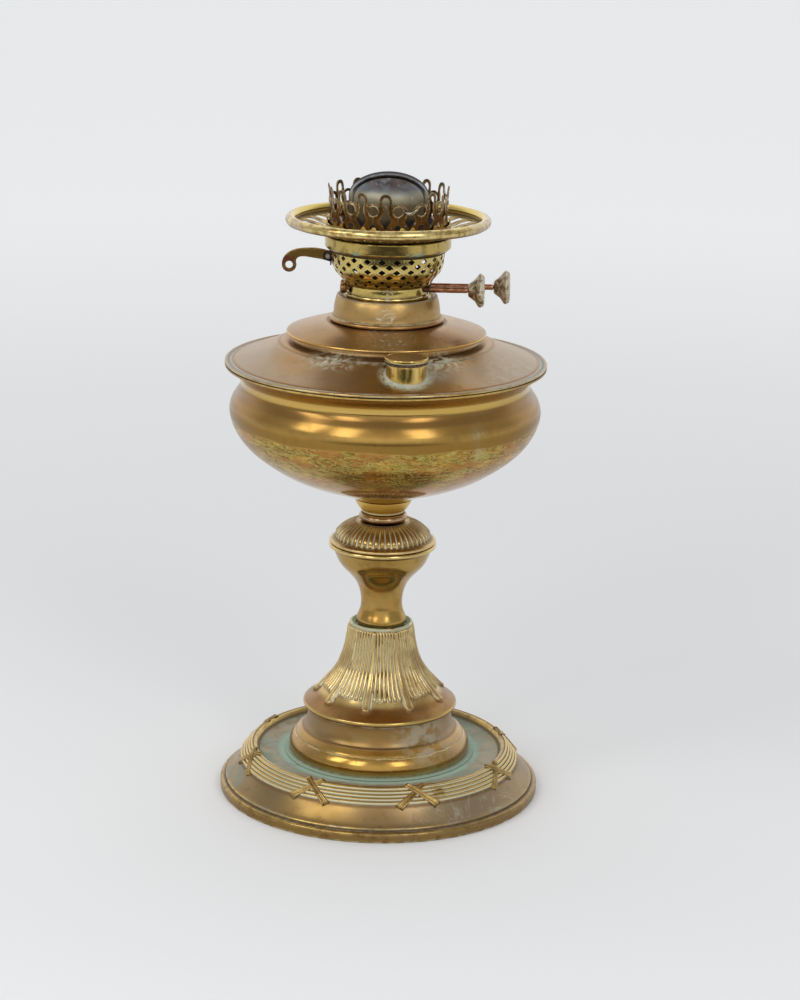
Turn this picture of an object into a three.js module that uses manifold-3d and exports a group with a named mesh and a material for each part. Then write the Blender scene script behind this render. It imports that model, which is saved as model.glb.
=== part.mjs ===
// Brass table oil lamp with a duplex burner (two flat wicks), without chimney and shade.
// Millimetres, +Z up, origin at the middle of the base's underside. The front is -Y, the
// winder knobs point to +X and the snuffer lever to -X.
// Angles round the lamp are counted from the front, positive towards +X.

import * as THREE from 'three';
import * as BufferGeometryUtils from 'three/addons/utils/BufferGeometryUtils.js';
import Module from 'manifold-3d';

const wasm = await Module();
wasm.setup();

// ---- driving dimensions ----
const chimneyDiameter = 64;      // foot of the glass chimney, which stands inside the coronet
const shadeFitterDiameter = 101.6;  // rim of the glass shade, which stands inside the shade ring
const wickWidth = 29;            // flat wick, 1 1/8 inch
const wickThickness = 1.9;
const baseRadius = 92.9;
const gutterZ = 22;              // floor of the gutter between border and foot dome
const bellFootZ = 50.5;          // underside of the reeded bell
const bellTopZ = 100.9;
const knopRimZ = 148.5;
const knopTopZ = 161.3;
const fountBottomZ = 175.2;
const bowlRadius = 88.3;         // widest part of the oil fount
const fountRimRadius = 91;
const fountSeamZ = 253.6;        // where bowl and shoulder meet
const capDiscRadius = 56.4;
const collarTopZ = 293.2;
const collarBore = 22.8;
const spindleZ = 297.1;
const spindleOffset = 5.7;       // each spindle's distance from the lamp's middle plane
const tubeOffset = 9.25;         // each wick tube's distance from the middle plane
const tubeTopZ = 346;
const bandRadius = 35.4;
const bandBottomZ = 317.7;
const galleryFloorZ = 326.6;     // top of the band's inward flange
const lampTopZ = 361.8;
const fillerX = 11.4;
const fillerY = -68.4;
const knobRadius = 9.5;
const leverPivotX = -33.3;
const leverPivotZ = 314.2;

const gap = 0.3;                 // between pieces that touch
const wall = 1.2;                // spun brass sheet
const rodRadius = 4;
const rodHole = rodRadius + 1.2;
const large = 28;                // steps round the large spinnings
const small = 18;                // steps round the small turnings
const fine = 12;                 // steps round pins, rods, knobs and washers

// ---- geometry helpers ----

// Leaves only positions, shares equal corners and drops triangles with no area.
function closed(geometry) {
  geometry.deleteAttribute('normal');
  geometry.deleteAttribute('uv');
  const merged = BufferGeometryUtils.mergeVertices(geometry, 1e-4);
  const index = merged.index.array;
  const kept = [];
  for (let i = 0; i < index.length; i += 3) {
    const [a, b, c] = [index[i], index[i + 1], index[i + 2]];
    if (a !== b && b !== c && c !== a) kept.push(a, b, c);
  }
  merged.setIndex(kept);
  return merged;
}

function solid(geometry) {
  const mesh = new wasm.Mesh({
    numProp: 3,
    vertProperties: new Float32Array(geometry.attributes.position.array),
    triVerts: new Uint32Array(geometry.index.array),
  });
  return new wasm.Manifold(mesh);
}

function fromSolid(manifold) {
  const mesh = manifold.getMesh();
  const geometry = new THREE.BufferGeometry();
  geometry.setAttribute('position', new THREE.BufferAttribute(mesh.vertProperties, 3));
  geometry.setIndex(new THREE.BufferAttribute(mesh.triVerts, 1));
  return geometry;
}

// Cuts every cutter out of a geometry, and first joins what is added to it.
function cut(geometry, cutters, added = []) {
  let body = solid(geometry);
  for (const piece of added) body = body.add(solid(piece));
  for (const cutter of cutters) body = body.subtract(solid(cutter));
  return fromSolid(body);
}

// Turns an outline of [radius, height] corners about Z. The outline runs anticlockwise, up
// its outer side, and it closes on itself or has one edge on the axis.
function spin(outline, steps) {
  const points = outline.map(([radius, height]) => new THREE.Vector2(radius, height));
  points.push(points[0].clone());
  const geometry = new THREE.LatheGeometry(points, steps);
  geometry.rotateX(Math.PI / 2);
  return closed(geometry);
}

// The same about an axis along X through y and z, with [radius, x] corners.
function spinAlongX(outline, steps, y, z) {
  return spin(outline, steps).rotateY(Math.PI / 2).translate(0, y, z);
}

// Flat plate: outline of [x, y] corners with holes, from z = low to z = high.
function plate(outline, holes, low, high) {
  const shape = new THREE.Shape(outline.map(([x, y]) => new THREE.Vector2(x, y)));
  for (const hole of holes) {
    shape.holes.push(new THREE.Path(hole.map(([x, y]) => new THREE.Vector2(x, y))));
  }
  const options = { depth: high - low, bevelEnabled: false, steps: 1 };
  return closed(new THREE.ExtrudeGeometry(shape, options).translate(0, 0, low));
}

// A plate whose outline is [x, z], standing on edge from y = low to y = high.
function uprightPlate(outline, holes, low, high) {
  return plate(outline, holes, 0, high - low).rotateX(Math.PI / 2).translate(0, high, 0);
}

function block(low, high) {
  const size = low.map((value, i) => high[i] - value);
  const middle = low.map((value, i) => (high[i] + value) / 2);
  return closed(new THREE.BoxGeometry(...size).translate(...middle));
}

function circle(x, y, radius, corners, turn = 0) {
  const points = [];
  for (let i = 0; i < corners; i += 1) {
    const angle = turn + i * 2 * Math.PI / corners;
    points.push([x + radius * Math.cos(angle), y + radius * Math.sin(angle)]);
  }
  return points;
}

// Rectangle with cut corners, centred on x and y.
function slab(x, y, width, depth, corner) {
  const [a, b] = [width / 2, depth / 2];
  return [
    [x - a + corner, y - b], [x + a - corner, y - b], [x + a, y - b + corner],
    [x + a, y + b - corner], [x + a - corner, y + b], [x - a + corner, y + b],
    [x - a, y + b - corner], [x - a, y - b + corner],
  ];
}

// A radial prism: an outline of [sideways, height] corners that runs outwards from
// radius inner to radius outer, at an angle round the lamp.
function radialPrism(outline, inner, outer, degrees) {
  const prism = uprightPlate(outline, [], -outer, -inner);
  return prism.rotateZ(THREE.MathUtils.degToRad(degrees));
}

function evenly(count, make, first = 0) {
  return Array.from({ length: count }, (_, i) => make(first + i * 360 / count));
}

// ---- foot ----

// Spun base: flat rolled rim, groove, cove, four-reed border, gutter and a flat middle
// that the tie rod clamps.
function baseShell() {
  const outer = [
    [baseRadius - 2.7, 0], [baseRadius - 0.7, 0], [baseRadius, 0.8], [baseRadius, 5],
    [baseRadius - 0.9, 5.9], [89.8, 6.3], [89.3, 7.3], [84.9, 12], [82.2, 15.5],
    [81, 18.3], [79.8, 20.6], [77.4, 24], [74, 26], [70.4, 25.5], [69.1, gutterZ],
    [rodHole, gutterZ],
  ];
  const inner = [
    [rodHole, gutterZ - wall], [70, gutterZ - wall], [72, 24.2], [75.6, 23.2], [79.3, 17.6],
    [83.4, 11.2], [87.9, 6.6], [91.6, 4.4], [91.6, 1.5], [baseRadius - 2.7, 1.2],
  ];
  return spin([...outer, ...inner], large);
}

function baseWeight() {
  const top = gutterZ - wall - gap;
  return spin([[rodHole, 12], [58, 12], [60, 13.5], [60, top], [rodHole, top]], large);
}

function footDome() {
  const outer = [
    [55, gutterZ + gap], [55, 23.1], [52.7, 24.1], [52.5, 28.2], [50.9, 32.2], [48.2, 34.8],
    [44.6, 37.8], [42.5, 41.2], [41.9, 45.5], [42.3, 50.2], [rodHole, 50.2],
  ];
  const inner = [
    [rodHole, 49], [41.1, 49], [40.7, 45.4], [41.4, 40.7], [43.7, 37], [47.4, 33.9],
    [49.9, 31.6], [51.4, 28], [51.5, gutterZ + gap],
  ];
  return spin([...outer, ...inner], small);
}

// Flared, reeded foot of the column. Its top is a cup with a lip that the column stands in.
function reededBell() {
  const outer = [
    [42, bellFootZ], [44.1, bellFootZ], [44.6, 51.2], [44.6, 52.5], [42.7, 54.1],
    [38.1, 57], [33.7, 61.5], [28.2, 68], [23.7, 75], [20.8, 83.5], [19, 92], [18.3, 98.5],
    [18.6, 100.2], [18, bellTopZ],
  ];
  const cup = [[16.8, bellTopZ], [16, 98.9], [rodHole, 98.9], [rodHole, 97.7]];
  const inner = [[17, 97.7], [19.5, 84], [22.4, 75], [26.8, 68], [36.4, 57], [42, 52]];
  return spin([...outer, ...cup, ...inner], small);
}

// ---- column ----

function columnBaluster() {
  const outer = [
    [rodHole, 99.2], [13.2, 99.2], [14.3, 101.2], [14.3, 103.6], [12.5, 108], [11.9, 112.5],
    [12.6, 119], [14.6, 124.6], [18.6, 129.8], [23.6, 135], [27, 141], [28.8, 145],
    [30.9, 147], [30.7, knopRimZ - 0.1],
  ];
  const inner = [
    [29.2, knopRimZ - 0.1], [27.2, 145.2], [22.2, 135.8], [16.8, 129.8], [11.4, 120],
    [10.6, 112.5], [12.4, 103], [12, 100.7], [rodHole, 100.7],
  ];
  return spin([...outer, ...inner], small);
}

function knopCap() {
  const outer = [
    [30.5, knopRimZ + 0.2], [30.3, 149.6], [27.7, 151.4], [25.6, 155.4], [20.8, 159.4],
    [15.2, knopTopZ], [rodHole, knopTopZ],
  ];
  const inner = [
    [rodHole, knopTopZ - wall], [15, knopTopZ - wall], [20, 158.3], [24.4, 154.6],
    [26.7, 150.4], [29, knopRimZ + 0.2],
  ];
  return spin([...outer, ...inner], small);
}

function neckRing() {
  const low = knopTopZ + gap;
  const high = 166.6;
  return spin([
    [rodHole, low], [12.8, low], [13.9, low + 1.6], [13.9, high - 1.6], [12.8, high], [rodHole, high],
  ], small);
}

// Solid cone under the fount, with the blind hole that takes the end of the tie rod.
function fountFoot() {
  const high = fountBottomZ - gap;
  const bore = rodRadius + 0.4;
  return spin([
    [0, 172.5], [bore, 172.5], [bore, 166.9], [11.8, 166.9], [13.4, 168.8], [14.9, 171.4],
    [17, high], [0, high],
  ], small);
}

function tieRod() {
  return spin([[0, 4.6], [rodRadius, 4.6], [rodRadius, 172.2], [0, 172.2]], fine);
}

function tieWasher() {
  return spin([[rodRadius + gap, 10.2], [12, 10.2], [12, 11.7], [rodRadius + gap, 11.7]], fine);
}

function tieNut() {
  const acrossFlats = 13;
  const outline = circle(0, 0, acrossFlats / Math.sqrt(3), 6);
  return plate(outline, [circle(0, 0, rodRadius + gap, fine)], 5.2, 9.9);
}

// ---- oil fount ----

function fountBowl() {
  const outer = [
    [0, fountBottomZ], [16.8, fountBottomZ], [28.3, 180], [45.8, 186], [58.7, 192],
    [72, 201], [81.3, 210], [86.4, 219], [bowlRadius, 226.5], [87.3, 232.5], [82.6, 239],
    [82.2, 241.2], [84.7, 247.6], [88.6, 251.6], [fountRimRadius, 253], [fountRimRadius, fountSeamZ],
  ];
  const inner = [
    [89.6, fountSeamZ], [84, 248.8], [80.9, 241.4], [81.2, 238.6], [86, 231.8], [87, 226.6],
    [80.3, 211], [71, 202], [57.9, 193.2], [45.2, 187.2], [27.6, 181.2], [16.4, fountBottomZ + wall],
    [0, fountBottomZ + wall],
  ];
  return spin([...outer, ...inner], large);
}

// Outer face of the shoulder from its rim to the neck under the cap disc.
const shoulderFace = [
  [fountRimRadius, fountSeamZ + gap], [fountRimRadius, 254.9], [90.3, 255.3], [87.2, 255.1],
  [79.3, 258.1], [71.3, 261.1], [60.2, 265.8], [58.6, 266.6], [52.9, 267.2], [52.3, 268.4],
];

function fountShoulder() {
  const top = [[52.3, 272.2], [36, 276.4], [28.2, 276.7]];
  const inner = [
    [28.2, 275.5], [36, 275.2], [51.1, 271.3], [51.1, 266.1], [58.2, 265.3], [71, 259.9],
    [86.8, 253.9], [89.6, fountSeamZ + gap],
  ];
  const shell = spin([...shoulderFace, ...top, ...inner], large);
  const hole = plate(circle(fillerX, fillerY, 9.4, 16), [], 240, 275);
  return cut(shell, [hole]);
}

function fountCapDisc() {
  return spin([
    [54.9, 270.8], [56, 270.8], [capDiscRadius, 271.2], [capDiscRadius, 272.3], [55.6, 273],
    [45, 275.8], [36, 278], [28.2, 278.2], [28.2, 277], [36, 276.8], [45, 274.6], [54.9, 272],
  ], large);
}

// Socket for the burner: tail through the fount's top, bead, cone and a recessed top.
function fountCollar() {
  return spin([
    [collarBore, 272], [27.9, 272], [27.9, 278.5], [31.4, 278.5], [32.3, 279.6], [31.6, 281.4],
    [30.1, 281.8], [29.7, 288], [28.4, 292.4], [27.4, collarTopZ], [26.2, 293], [25.6, 292.2],
    [collarBore, 292.2],
  ], small);
}

// Upright tube whose lower end follows the sloping shoulder.
function fillerNeck() {
  const raise = gap + 0.05;
  const ground = shoulderFace.slice(2).map(([radius, height]) => [radius, height + raise]);
  const below = spin([[0, 240], [95, 240], [95, 255.3], ...ground, [0, 268.7]], large);
  const tube = plate(circle(fillerX, fillerY, 10.98, 24), [circle(fillerX, fillerY, 9.4, 16)], 250, 268.3);
  return cut(tube, [below]);
}

function fillerWasher() {
  const ring = spin([[9.6, 268.6], [11.7, 268.6], [11.7, 269.4], [9.6, 269.4]], small);
  return ring.translate(fillerX, fillerY, 0);
}

function fillerCap() {
  return spin([
    [0, 264.5], [8.9, 264.5], [8.9, 269.7], [11.5, 269.7], [12, 270.3],
    [12, 271.5], [11.3, 272.05], [10.2, 271.5], [0, 271.5],
  ], small).translate(fillerX, fillerY, 0);
}

// ---- burner ----

const skirtRadius = collarBore - 0.4;
const tubeWidth = wickWidth + 2.8;
const tubeDepth = 3.4;
const wheelRadius = 2.35;
const wheelPlaces = [-8, 8];
const basketRadius = 31;
const basketTopZ = 319.4;

// Plain ring with the skirt that goes down into the collar, drilled for the spindles.
function burnerSkirt() {
  const shell = spin([
    [skirtRadius, 279], [skirtRadius, 292.5], [23.3, 292.6], [23.4, 293.6], [skirtRadius, 294.6],
    [skirtRadius, 299.7], [skirtRadius - 1, 299.7], [skirtRadius - 1, 279],
  ], small);
  const holes = [-spindleOffset, spindleOffset].flatMap((y) => [
    spinAlongX([[0, 0], [1.85, 0], [1.85, 30], [0, 30]], 10, y, spindleZ),
    spinAlongX([[0, -30], [1.35, -30], [1.35, 0], [0, 0]], 10, y, spindleZ),
  ]);
  return cut(shell, holes);
}

// Plate across the skirt that carries the wick tubes, with a vent in the middle.
function burnerFloor() {
  const holes = [-tubeOffset, tubeOffset].map((y) => slab(0, y, tubeWidth + 0.6, tubeDepth + 0.6, 0.5));
  holes.push(circle(0, 0, 2.5, 8));
  return plate(circle(0, 0, skirtRadius - 1 - gap, small, -Math.PI / 2), holes, 289, 290.2);
}

// Flat tube for one wick, with two windows that the spur wheels reach the wick through.
function wickTube(side) {
  const y = side * tubeOffset;
  const bore = slab(0, y, tubeWidth - 1.4, tubeDepth - 1, 0.4);
  const tube = plate(slab(0, y, tubeWidth, tubeDepth, 0.7), [bore], 284, tubeTopZ);
  const near = side * (tubeOffset - tubeDepth / 2 - 0.5);
  const far = side * (tubeOffset - wickThickness / 2);
  const windows = wheelPlaces.map((x) => block(
    [x - 1.7, Math.min(near, far), spindleZ - 2.9],
    [x + 1.7, Math.max(near, far), spindleZ + 2.9],
  ));
  return cut(tube, windows);
}

// Plain solid for one flat wick: it hangs from the tube down into the fount.
function wick(side) {
  const y = side * tubeOffset;
  return block(
    [-wickWidth / 2, y - wickThickness / 2, 190],
    [wickWidth / 2, y + wickThickness / 2, tubeTopZ - 2],
  );
}

// Bowl of the air basket with its two widest rows of diamond piercings and the notch
// that the snuffer lever passes through.
function airBasket() {
  const diamondCount = 12;
  const shell = spin([
    [22.6, 300], [23.8, 300.1], [24.7, 301.9], [28.7, 306.3], [30.4, 310], [basketRadius, 314],
    [basketRadius, basketTopZ], [basketRadius - 0.8, basketTopZ], [basketRadius - 0.8, 314.2],
    [29.6, 310.3], [28, 307], [24, 302.6], [22.6, 300.9],
  ], 2 * diamondCount);
  const diamond = (height) => [[-1.5, height], [0, height - 1.4], [1.5, height], [0, height + 1.4]];
  const row = (height, first) => evenly(
    diamondCount, (angle) => radialPrism(diamond(height), 26, 36, angle), first,
  );
  const notch = block([-36, -1.3, 311.2], [-24, 1.3, basketTopZ + 1]);
  return cut(shell, [...row(315.6, 15), ...row(312.2, 0), notch]);
}

function spindle(side, knobX) {
  return spinAlongX([
    [0, -25.2], [1, -25.2], [1, 17], [1.5, 17.5], [1.5, knobX], [1.1, knobX], [1.1, knobX + 8],
    [0, knobX + 8],
  ], fine, side * spindleOffset, spindleZ);
}

// Riveted button that keeps the spindle from pulling out.
function spindleButton(side) {
  return spinAlongX([
    [0, -26.4], [1.3, -26.2], [2, -25.2], [2, -23.6], [1.3, -22.8], [1.3, -25.5], [0, -25.5],
  ], fine, side * spindleOffset, spindleZ);
}

// Toothed wheel that grips the wick.
function spurWheel(side, x) {
  const teeth = 8;
  const outline = [];
  for (let i = 0; i < 2 * teeth; i += 1) {
    const radius = i % 2 ? wheelRadius - 0.45 : wheelRadius;
    outline.push([radius * Math.cos(i * Math.PI / teeth), radius * Math.sin(i * Math.PI / teeth)]);
  }
  const wheel = plate(outline, [circle(0, 0, 1.3, 8)], -1.2, 1.2);
  return wheel.rotateY(Math.PI / 2).translate(x, side * spindleOffset, spindleZ);
}

// Trumpet-shaped winder knob with a blind bore for the spindle.
function knob(side, x) {
  return spinAlongX([
    [0, x + 8.6], [1.4, x + 8.6], [1.4, x + 0.3], [3, x + 0.3], [3.6, x + 2], [5.4, x + 4],
    [8, x + 5.6], [knobRadius, x + 6.6], [knobRadius, x + 7.5], [8.4, x + 8.9], [7, x + 9.4],
    [0, x + 9.4],
  ], fine, side * spindleOffset, spindleZ);
}

// ---- snuffer ----

const snufferSlotWidth = tubeWidth + 0.8;
const snufferSlotDepth = tubeDepth + 0.8;
const carrierZ = 316.1;
const carrierTopZ = carrierZ + 1.2;
const leverHalf = 0.8;

// Flat lever: long arm with an eye outside, short arm that lifts the carrier inside.
function snufferLever() {
  const eye = [-55.2, 308.8];
  const outline = [
    [-19.5, 312.7], [-31, 312.2], [-34, 311.7], [-38.4, 312.4], [-45.9, 313.4], [-49.6, 313.3],
    [-51.2, 312.2], [-51.6, 310.6],
    ...[0, -30, -60, -90, -120, -150, -180].map((degrees) => {
      const angle = THREE.MathUtils.degToRad(degrees);
      return [eye[0] + 4.1 * Math.cos(angle), eye[1] + 4.1 * Math.sin(angle)];
    }),
    [-59.1, 311], [-58, 313.4], [-55.9, 315.8], [-52.1, 317.6], [-47, 318.4], [-40.9, 318.5],
    [-36.4, 317.9], [-33.4, 317.2], [-31, 316], [-19.5, 315.7], [-18.3, 315.2], [-18, 314.2],
    [-18.3, 313.2],
  ];
  const holes = [circle(...eye, 2.1, 12), circle(leverPivotX, leverPivotZ, 1.4, 10)];
  return uprightPlate([...outline].reverse(), holes, -leverHalf, leverHalf);
}

// Plate on the basket with two ears that hold the lever's pin. Its wings are below the pin.
function leverBracket() {
  const back = block([-32.2, -2.1, 309.6], [-31.5, 2.1, 317]);
  const wings = block([-32.2, -4.2, 309.6], [-31.5, 4.2, 312]);
  const ears = [-2.1, 1.3].map((y) => uprightPlate(
    [[-36, 312.2], [-31.5, 311], [-31.5, 317], [-34.6, 317], [-36.2, 315.6]],
    [circle(leverPivotX, leverPivotZ, 1.4, 10)], y, y + 0.8,
  ));
  const slot = block([-33, -1.3, 310.8], [-31, 1.3, 318]);
  return cut(back, [slot], [wings, ...ears]);
}

function leverPin() {
  const profile = [
    [0, -3.1], [1.2, -3], [1.7, -2.4], [1.1, -2.4], [1.1, 2.4], [1.7, 2.4], [1.2, 3], [0, 3.1],
  ];
  return spin(profile, 10).rotateX(Math.PI / 2).translate(leverPivotX, 0, leverPivotZ);
}

function snufferCarrier() {
  const outline = [
    [-21.8, -5], [-17.6, -13.2], [17, -13.2], [18.6, -11.6], [18.6, 11.6], [17, 13.2],
    [-17.6, 13.2], [-21.8, 5],
  ];
  const slots = [-tubeOffset, tubeOffset].map((y) => slab(0, y, snufferSlotWidth, snufferSlotDepth, 0.5));
  return plate(outline, slots, carrierZ, carrierTopZ);
}

// Sleeve round one wick tube. It rises past the wick to put the flame out.
function snufferSleeve(side) {
  const y = side * tubeOffset;
  const bore = slab(0, y, snufferSlotWidth, snufferSlotDepth, 0.5);
  const outline = slab(0, y, snufferSlotWidth + 1.2, snufferSlotDepth + 1.2, 1);
  return plate(outline, [bore], carrierTopZ + gap, tubeTopZ - 1);
}

// ---- gallery ----

const restZ = galleryFloorZ + gap;       // coronet, seat and shade ring stand here
const coronetRadius = chimneyDiameter / 2 + 0.9;
const shadeSeatZ = 332.8;
const chimneySeatZ = 334.4;
const domeLedgeZ = 333.1;         // the dome's flange lies here, below the chimney's foot
const unitCount = 15;

// Band that drops over the basket, with an inward flange that carries the gallery.
function galleryBand() {
  return spin([
    [basketRadius + 0.4, bandBottomZ], [bandRadius, 320.5], [bandRadius, galleryFloorZ],
    [30.6, galleryFloorZ], [30.6, galleryFloorZ - 1], [bandRadius - 1, galleryFloorZ - 1],
    [bandRadius - 1, 321.1], [basketRadius + 0.4, bandBottomZ + 1.2],
  ], 24);
}

// Dished ring with radial slots and a rolled bead. Tabs round its inner collar hold the
// coronet.
function shadeRing() {
  const slotCount = 28;
  const seatRadius = shadeFitterDiameter / 2 + 1.8;
  const dish = spin([
    [33.5, restZ], [35.2, restZ], [49.2, 331.5], [55.8, 331.8], [57.4, 333.6], [57.2, 335.8],
    [55.1, 338], [53.4, 337.2], [seatRadius, 335], [seatRadius, shadeSeatZ], [49.4, shadeSeatZ],
    [34.4, 328.2], [34.4, 337], [33.5, 337],
  ], slotCount);
  const slots = evenly(slotCount, (angle) => {
    const slot = block([-1.1, -48.4, 320], [1.1, -37.8, 340]);
    return slot.rotateZ(THREE.MathUtils.degToRad(angle));
  }, 180 / slotCount);
  const tab = [[-1.2, 330], [1.2, 330], [1.2, 336.2], [0, 338], [-1.2, 336.2]];
  const pairs = [...evenly(10, (angle) => angle, -3), ...evenly(10, (angle) => angle, 3)];
  const tabs = pairs.map((angle) => radialPrism(tab, 32, 36, angle + 18));
  const collarTop = spin([[33, 334.6], [35, 334.6], [35, 339], [33, 339]], slotCount);
  return cut(dish, [...slots, cut(collarTop, tabs)]);
}

// Pierced chimney gallery: a row of eyelets, and between them diamond-shaped gaps that
// narrow and open again under horseshoe arches.
function coronet() {
  const topZ = 353.6;
  const ring = spin([
    [coronetRadius - 0.7, restZ], [coronetRadius, restZ], [coronetRadius, topZ],
    [coronetRadius - 0.7, topZ],
  ], 2 * unitCount);
  const archedGap = [
    [0, 334.7], [3.1, 339.7], [0.9, 344.4], [2.2, 348.6], [0, 351.9],
    [-2.2, 348.6], [-0.9, 344.4], [-3.1, 339.7],
  ];
  const eyelet = circle(0, 344.6, 2.9, 6);
  const valley = [[-3.6, topZ + 1], [-2.2, 350.6], [2.2, 350.6], [3.6, topZ + 1]];
  const firstUnit = 9.4;
  const radial = (outline, first) => evenly(
    unitCount, (angle) => radialPrism(outline, 30, 36, angle), first,
  );
  return cut(ring, [
    ...radial(eyelet, firstUnit), ...radial(valley, firstUnit),
    ...radial(archedGap, firstUnit - 180 / unitCount),
  ]);
}

// Stepped plate inside the coronet. The chimney stands on it, and the dome's flange lies on
// the lower ledge inside that.
function chimneySeat() {
  const rim = coronetRadius - 1;
  const seatInner = 25.9;
  return spin([
    [rim, restZ], [rim, chimneySeatZ], [seatInner, chimneySeatZ], [seatInner, domeLedgeZ],
    [23.6, domeLedgeZ], [23.6, domeLedgeZ - 1], [seatInner + 1, domeLedgeZ - 1],
    [seatInner + 1, chimneySeatZ - 1], [rim - 1, chimneySeatZ - 1], [rim - 1, restZ],
  ], 2 * unitCount);
}

// Domed cone over the wick tubes with one slot over each wick.
function dome() {
  const radius = 22.4;
  const springZ = 348.5;
  const rise = lampTopZ - springZ;
  const sheet = 0.9;
  const arc = (scale) => [0, 22, 42, 60, 76].map((degrees) => {
    const angle = THREE.MathUtils.degToRad(degrees);
    return [(radius - scale) * Math.cos(angle), springZ + (rise - scale) * Math.sin(angle)];
  });
  const low = domeLedgeZ + gap;
  const shell = spin([
    [25.4, low], [25.4, low + sheet], [23.4, low + 1.3], [22.6, 339],
    ...arc(0), [0, lampTopZ], [0, lampTopZ - sheet], ...arc(sheet).reverse(),
    [21.7, 339], [22.4, low],
  ], small);
  const [slotHalfLength, slotHalfWidth] = [19.25, 1.95];
  const slots = [-tubeOffset, tubeOffset].map((y) => block(
    [-slotHalfLength, y - slotHalfWidth, 350], [slotHalfLength, y + slotHalfWidth, 365],
  ));
  return cut(shell, slots);
}

// ---- assembly ----

const agedBrass = { color: 0x9a8250, roughness: 0.5, metalness: 0.9 };
const polishedBrass = { color: 0xa08a48, roughness: 0.3, metalness: 0.95 };
const yellowBrass = { color: 0xc0a65a, roughness: 0.38, metalness: 0.95 };
const copperTone = { color: 0x8f6240, roughness: 0.35, metalness: 0.95 };
const darkBrass = { color: 0x5c4a34, roughness: 0.55, metalness: 0.85 };
const tintedSteel = { color: 0x7d8284, roughness: 0.4, metalness: 0.9 };
const wornNickel = { color: 0x99938a, roughness: 0.5, metalness: 0.85 };
const ironGrey = { color: 0x4a4845, roughness: 0.7, metalness: 0.7 };
const washerLeather = { color: 0x8b8a6c, roughness: 0.85, metalness: 0 };
const wickCotton = { color: 0xcfc6b0, roughness: 0.95, metalness: 0 };

const lamp = new THREE.Group();

function add(name, geometry, look) {
  geometry.computeVertexNormals();
  const mesh = new THREE.Mesh(geometry, new THREE.MeshStandardMaterial(look));
  mesh.name = name;
  lamp.add(mesh);
}

add('base_shell', baseShell(), agedBrass);
add('base_weight', baseWeight(), ironGrey);
add('foot_dome', footDome(), agedBrass);
add('reeded_bell', reededBell(), agedBrass);
add('column_baluster', columnBaluster(), polishedBrass);
add('knop_cap', knopCap(), agedBrass);
add('neck_ring', neckRing(), copperTone);
add('fount_foot', fountFoot(), polishedBrass);
add('tie_rod', tieRod(), ironGrey);
add('tie_washer', tieWasher(), ironGrey);
add('tie_nut', tieNut(), ironGrey);
add('fount_bowl', fountBowl(), polishedBrass);
add('fount_shoulder', fountShoulder(), agedBrass);
add('fount_cap_disc', fountCapDisc(), agedBrass);
add('fount_collar', fountCollar(), agedBrass);
add('filler_neck', fillerNeck(), agedBrass);
add('filler_washer', fillerWasher(), washerLeather);
add('filler_cap', fillerCap(), agedBrass);
add('burner_skirt', burnerSkirt(), yellowBrass);
add('burner_floor', burnerFloor(), yellowBrass);
add('air_basket', airBasket(), yellowBrass);

for (const [name, side, knobX] of [['front', -1, 44.6], ['rear', 1, 59.2]]) {
  add(`${name}_wick_tube`, wickTube(side), yellowBrass);
  add(`${name}_wick`, wick(side), wickCotton);
  add(`${name}_spindle`, spindle(side, knobX), copperTone);
  add(`${name}_spindle_button`, spindleButton(side), darkBrass);
  add(`${name}_spur_wheel_left`, spurWheel(side, wheelPlaces[0]), darkBrass);
  add(`${name}_spur_wheel_right`, spurWheel(side, wheelPlaces[1]), darkBrass);
  add(`${name}_knob`, knob(side, knobX), wornNickel);
  add(`${name}_snuffer_sleeve`, snufferSleeve(side), darkBrass);
}

add('snuffer_carrier', snufferCarrier(), darkBrass);
add('snuffer_lever', snufferLever(), agedBrass);
add('lever_bracket', leverBracket(), darkBrass);
add('lever_pin', leverPin(), tintedSteel);
add('gallery_band', galleryBand(), yellowBrass);
add('shade_ring', shadeRing(), yellowBrass);
add('coronet', coronet(), darkBrass);
add('chimney_seat', chimneySeat(), darkBrass);
add('dome', dome(), tintedSteel);

export default lamp;
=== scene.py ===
import math
import random

import bmesh
import bpy
import numpy as np
from mathutils import Matrix, Vector
from mathutils.geometry import delaunay_2d_cdt


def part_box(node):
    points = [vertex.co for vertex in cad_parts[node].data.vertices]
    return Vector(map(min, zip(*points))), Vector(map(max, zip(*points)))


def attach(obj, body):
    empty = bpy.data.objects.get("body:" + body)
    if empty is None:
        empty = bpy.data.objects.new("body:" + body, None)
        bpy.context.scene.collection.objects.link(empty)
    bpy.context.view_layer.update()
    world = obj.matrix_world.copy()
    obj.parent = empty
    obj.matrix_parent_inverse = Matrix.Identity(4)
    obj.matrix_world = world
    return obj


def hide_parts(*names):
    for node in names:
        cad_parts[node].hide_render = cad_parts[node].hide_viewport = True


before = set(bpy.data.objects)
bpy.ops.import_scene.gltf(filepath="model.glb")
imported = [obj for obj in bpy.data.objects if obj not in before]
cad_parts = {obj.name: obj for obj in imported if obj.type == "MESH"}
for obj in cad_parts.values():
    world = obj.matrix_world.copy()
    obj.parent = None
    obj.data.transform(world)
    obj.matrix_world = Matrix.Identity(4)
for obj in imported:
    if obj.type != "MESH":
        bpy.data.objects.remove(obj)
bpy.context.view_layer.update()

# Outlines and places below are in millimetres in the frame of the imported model. Angles round
# the lamp are in degrees from the front, -Y, towards the knobs, +X.
MM = 0.001
LOW = {name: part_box(name)[0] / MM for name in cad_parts}
HIGH = {name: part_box(name)[1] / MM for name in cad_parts}

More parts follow.
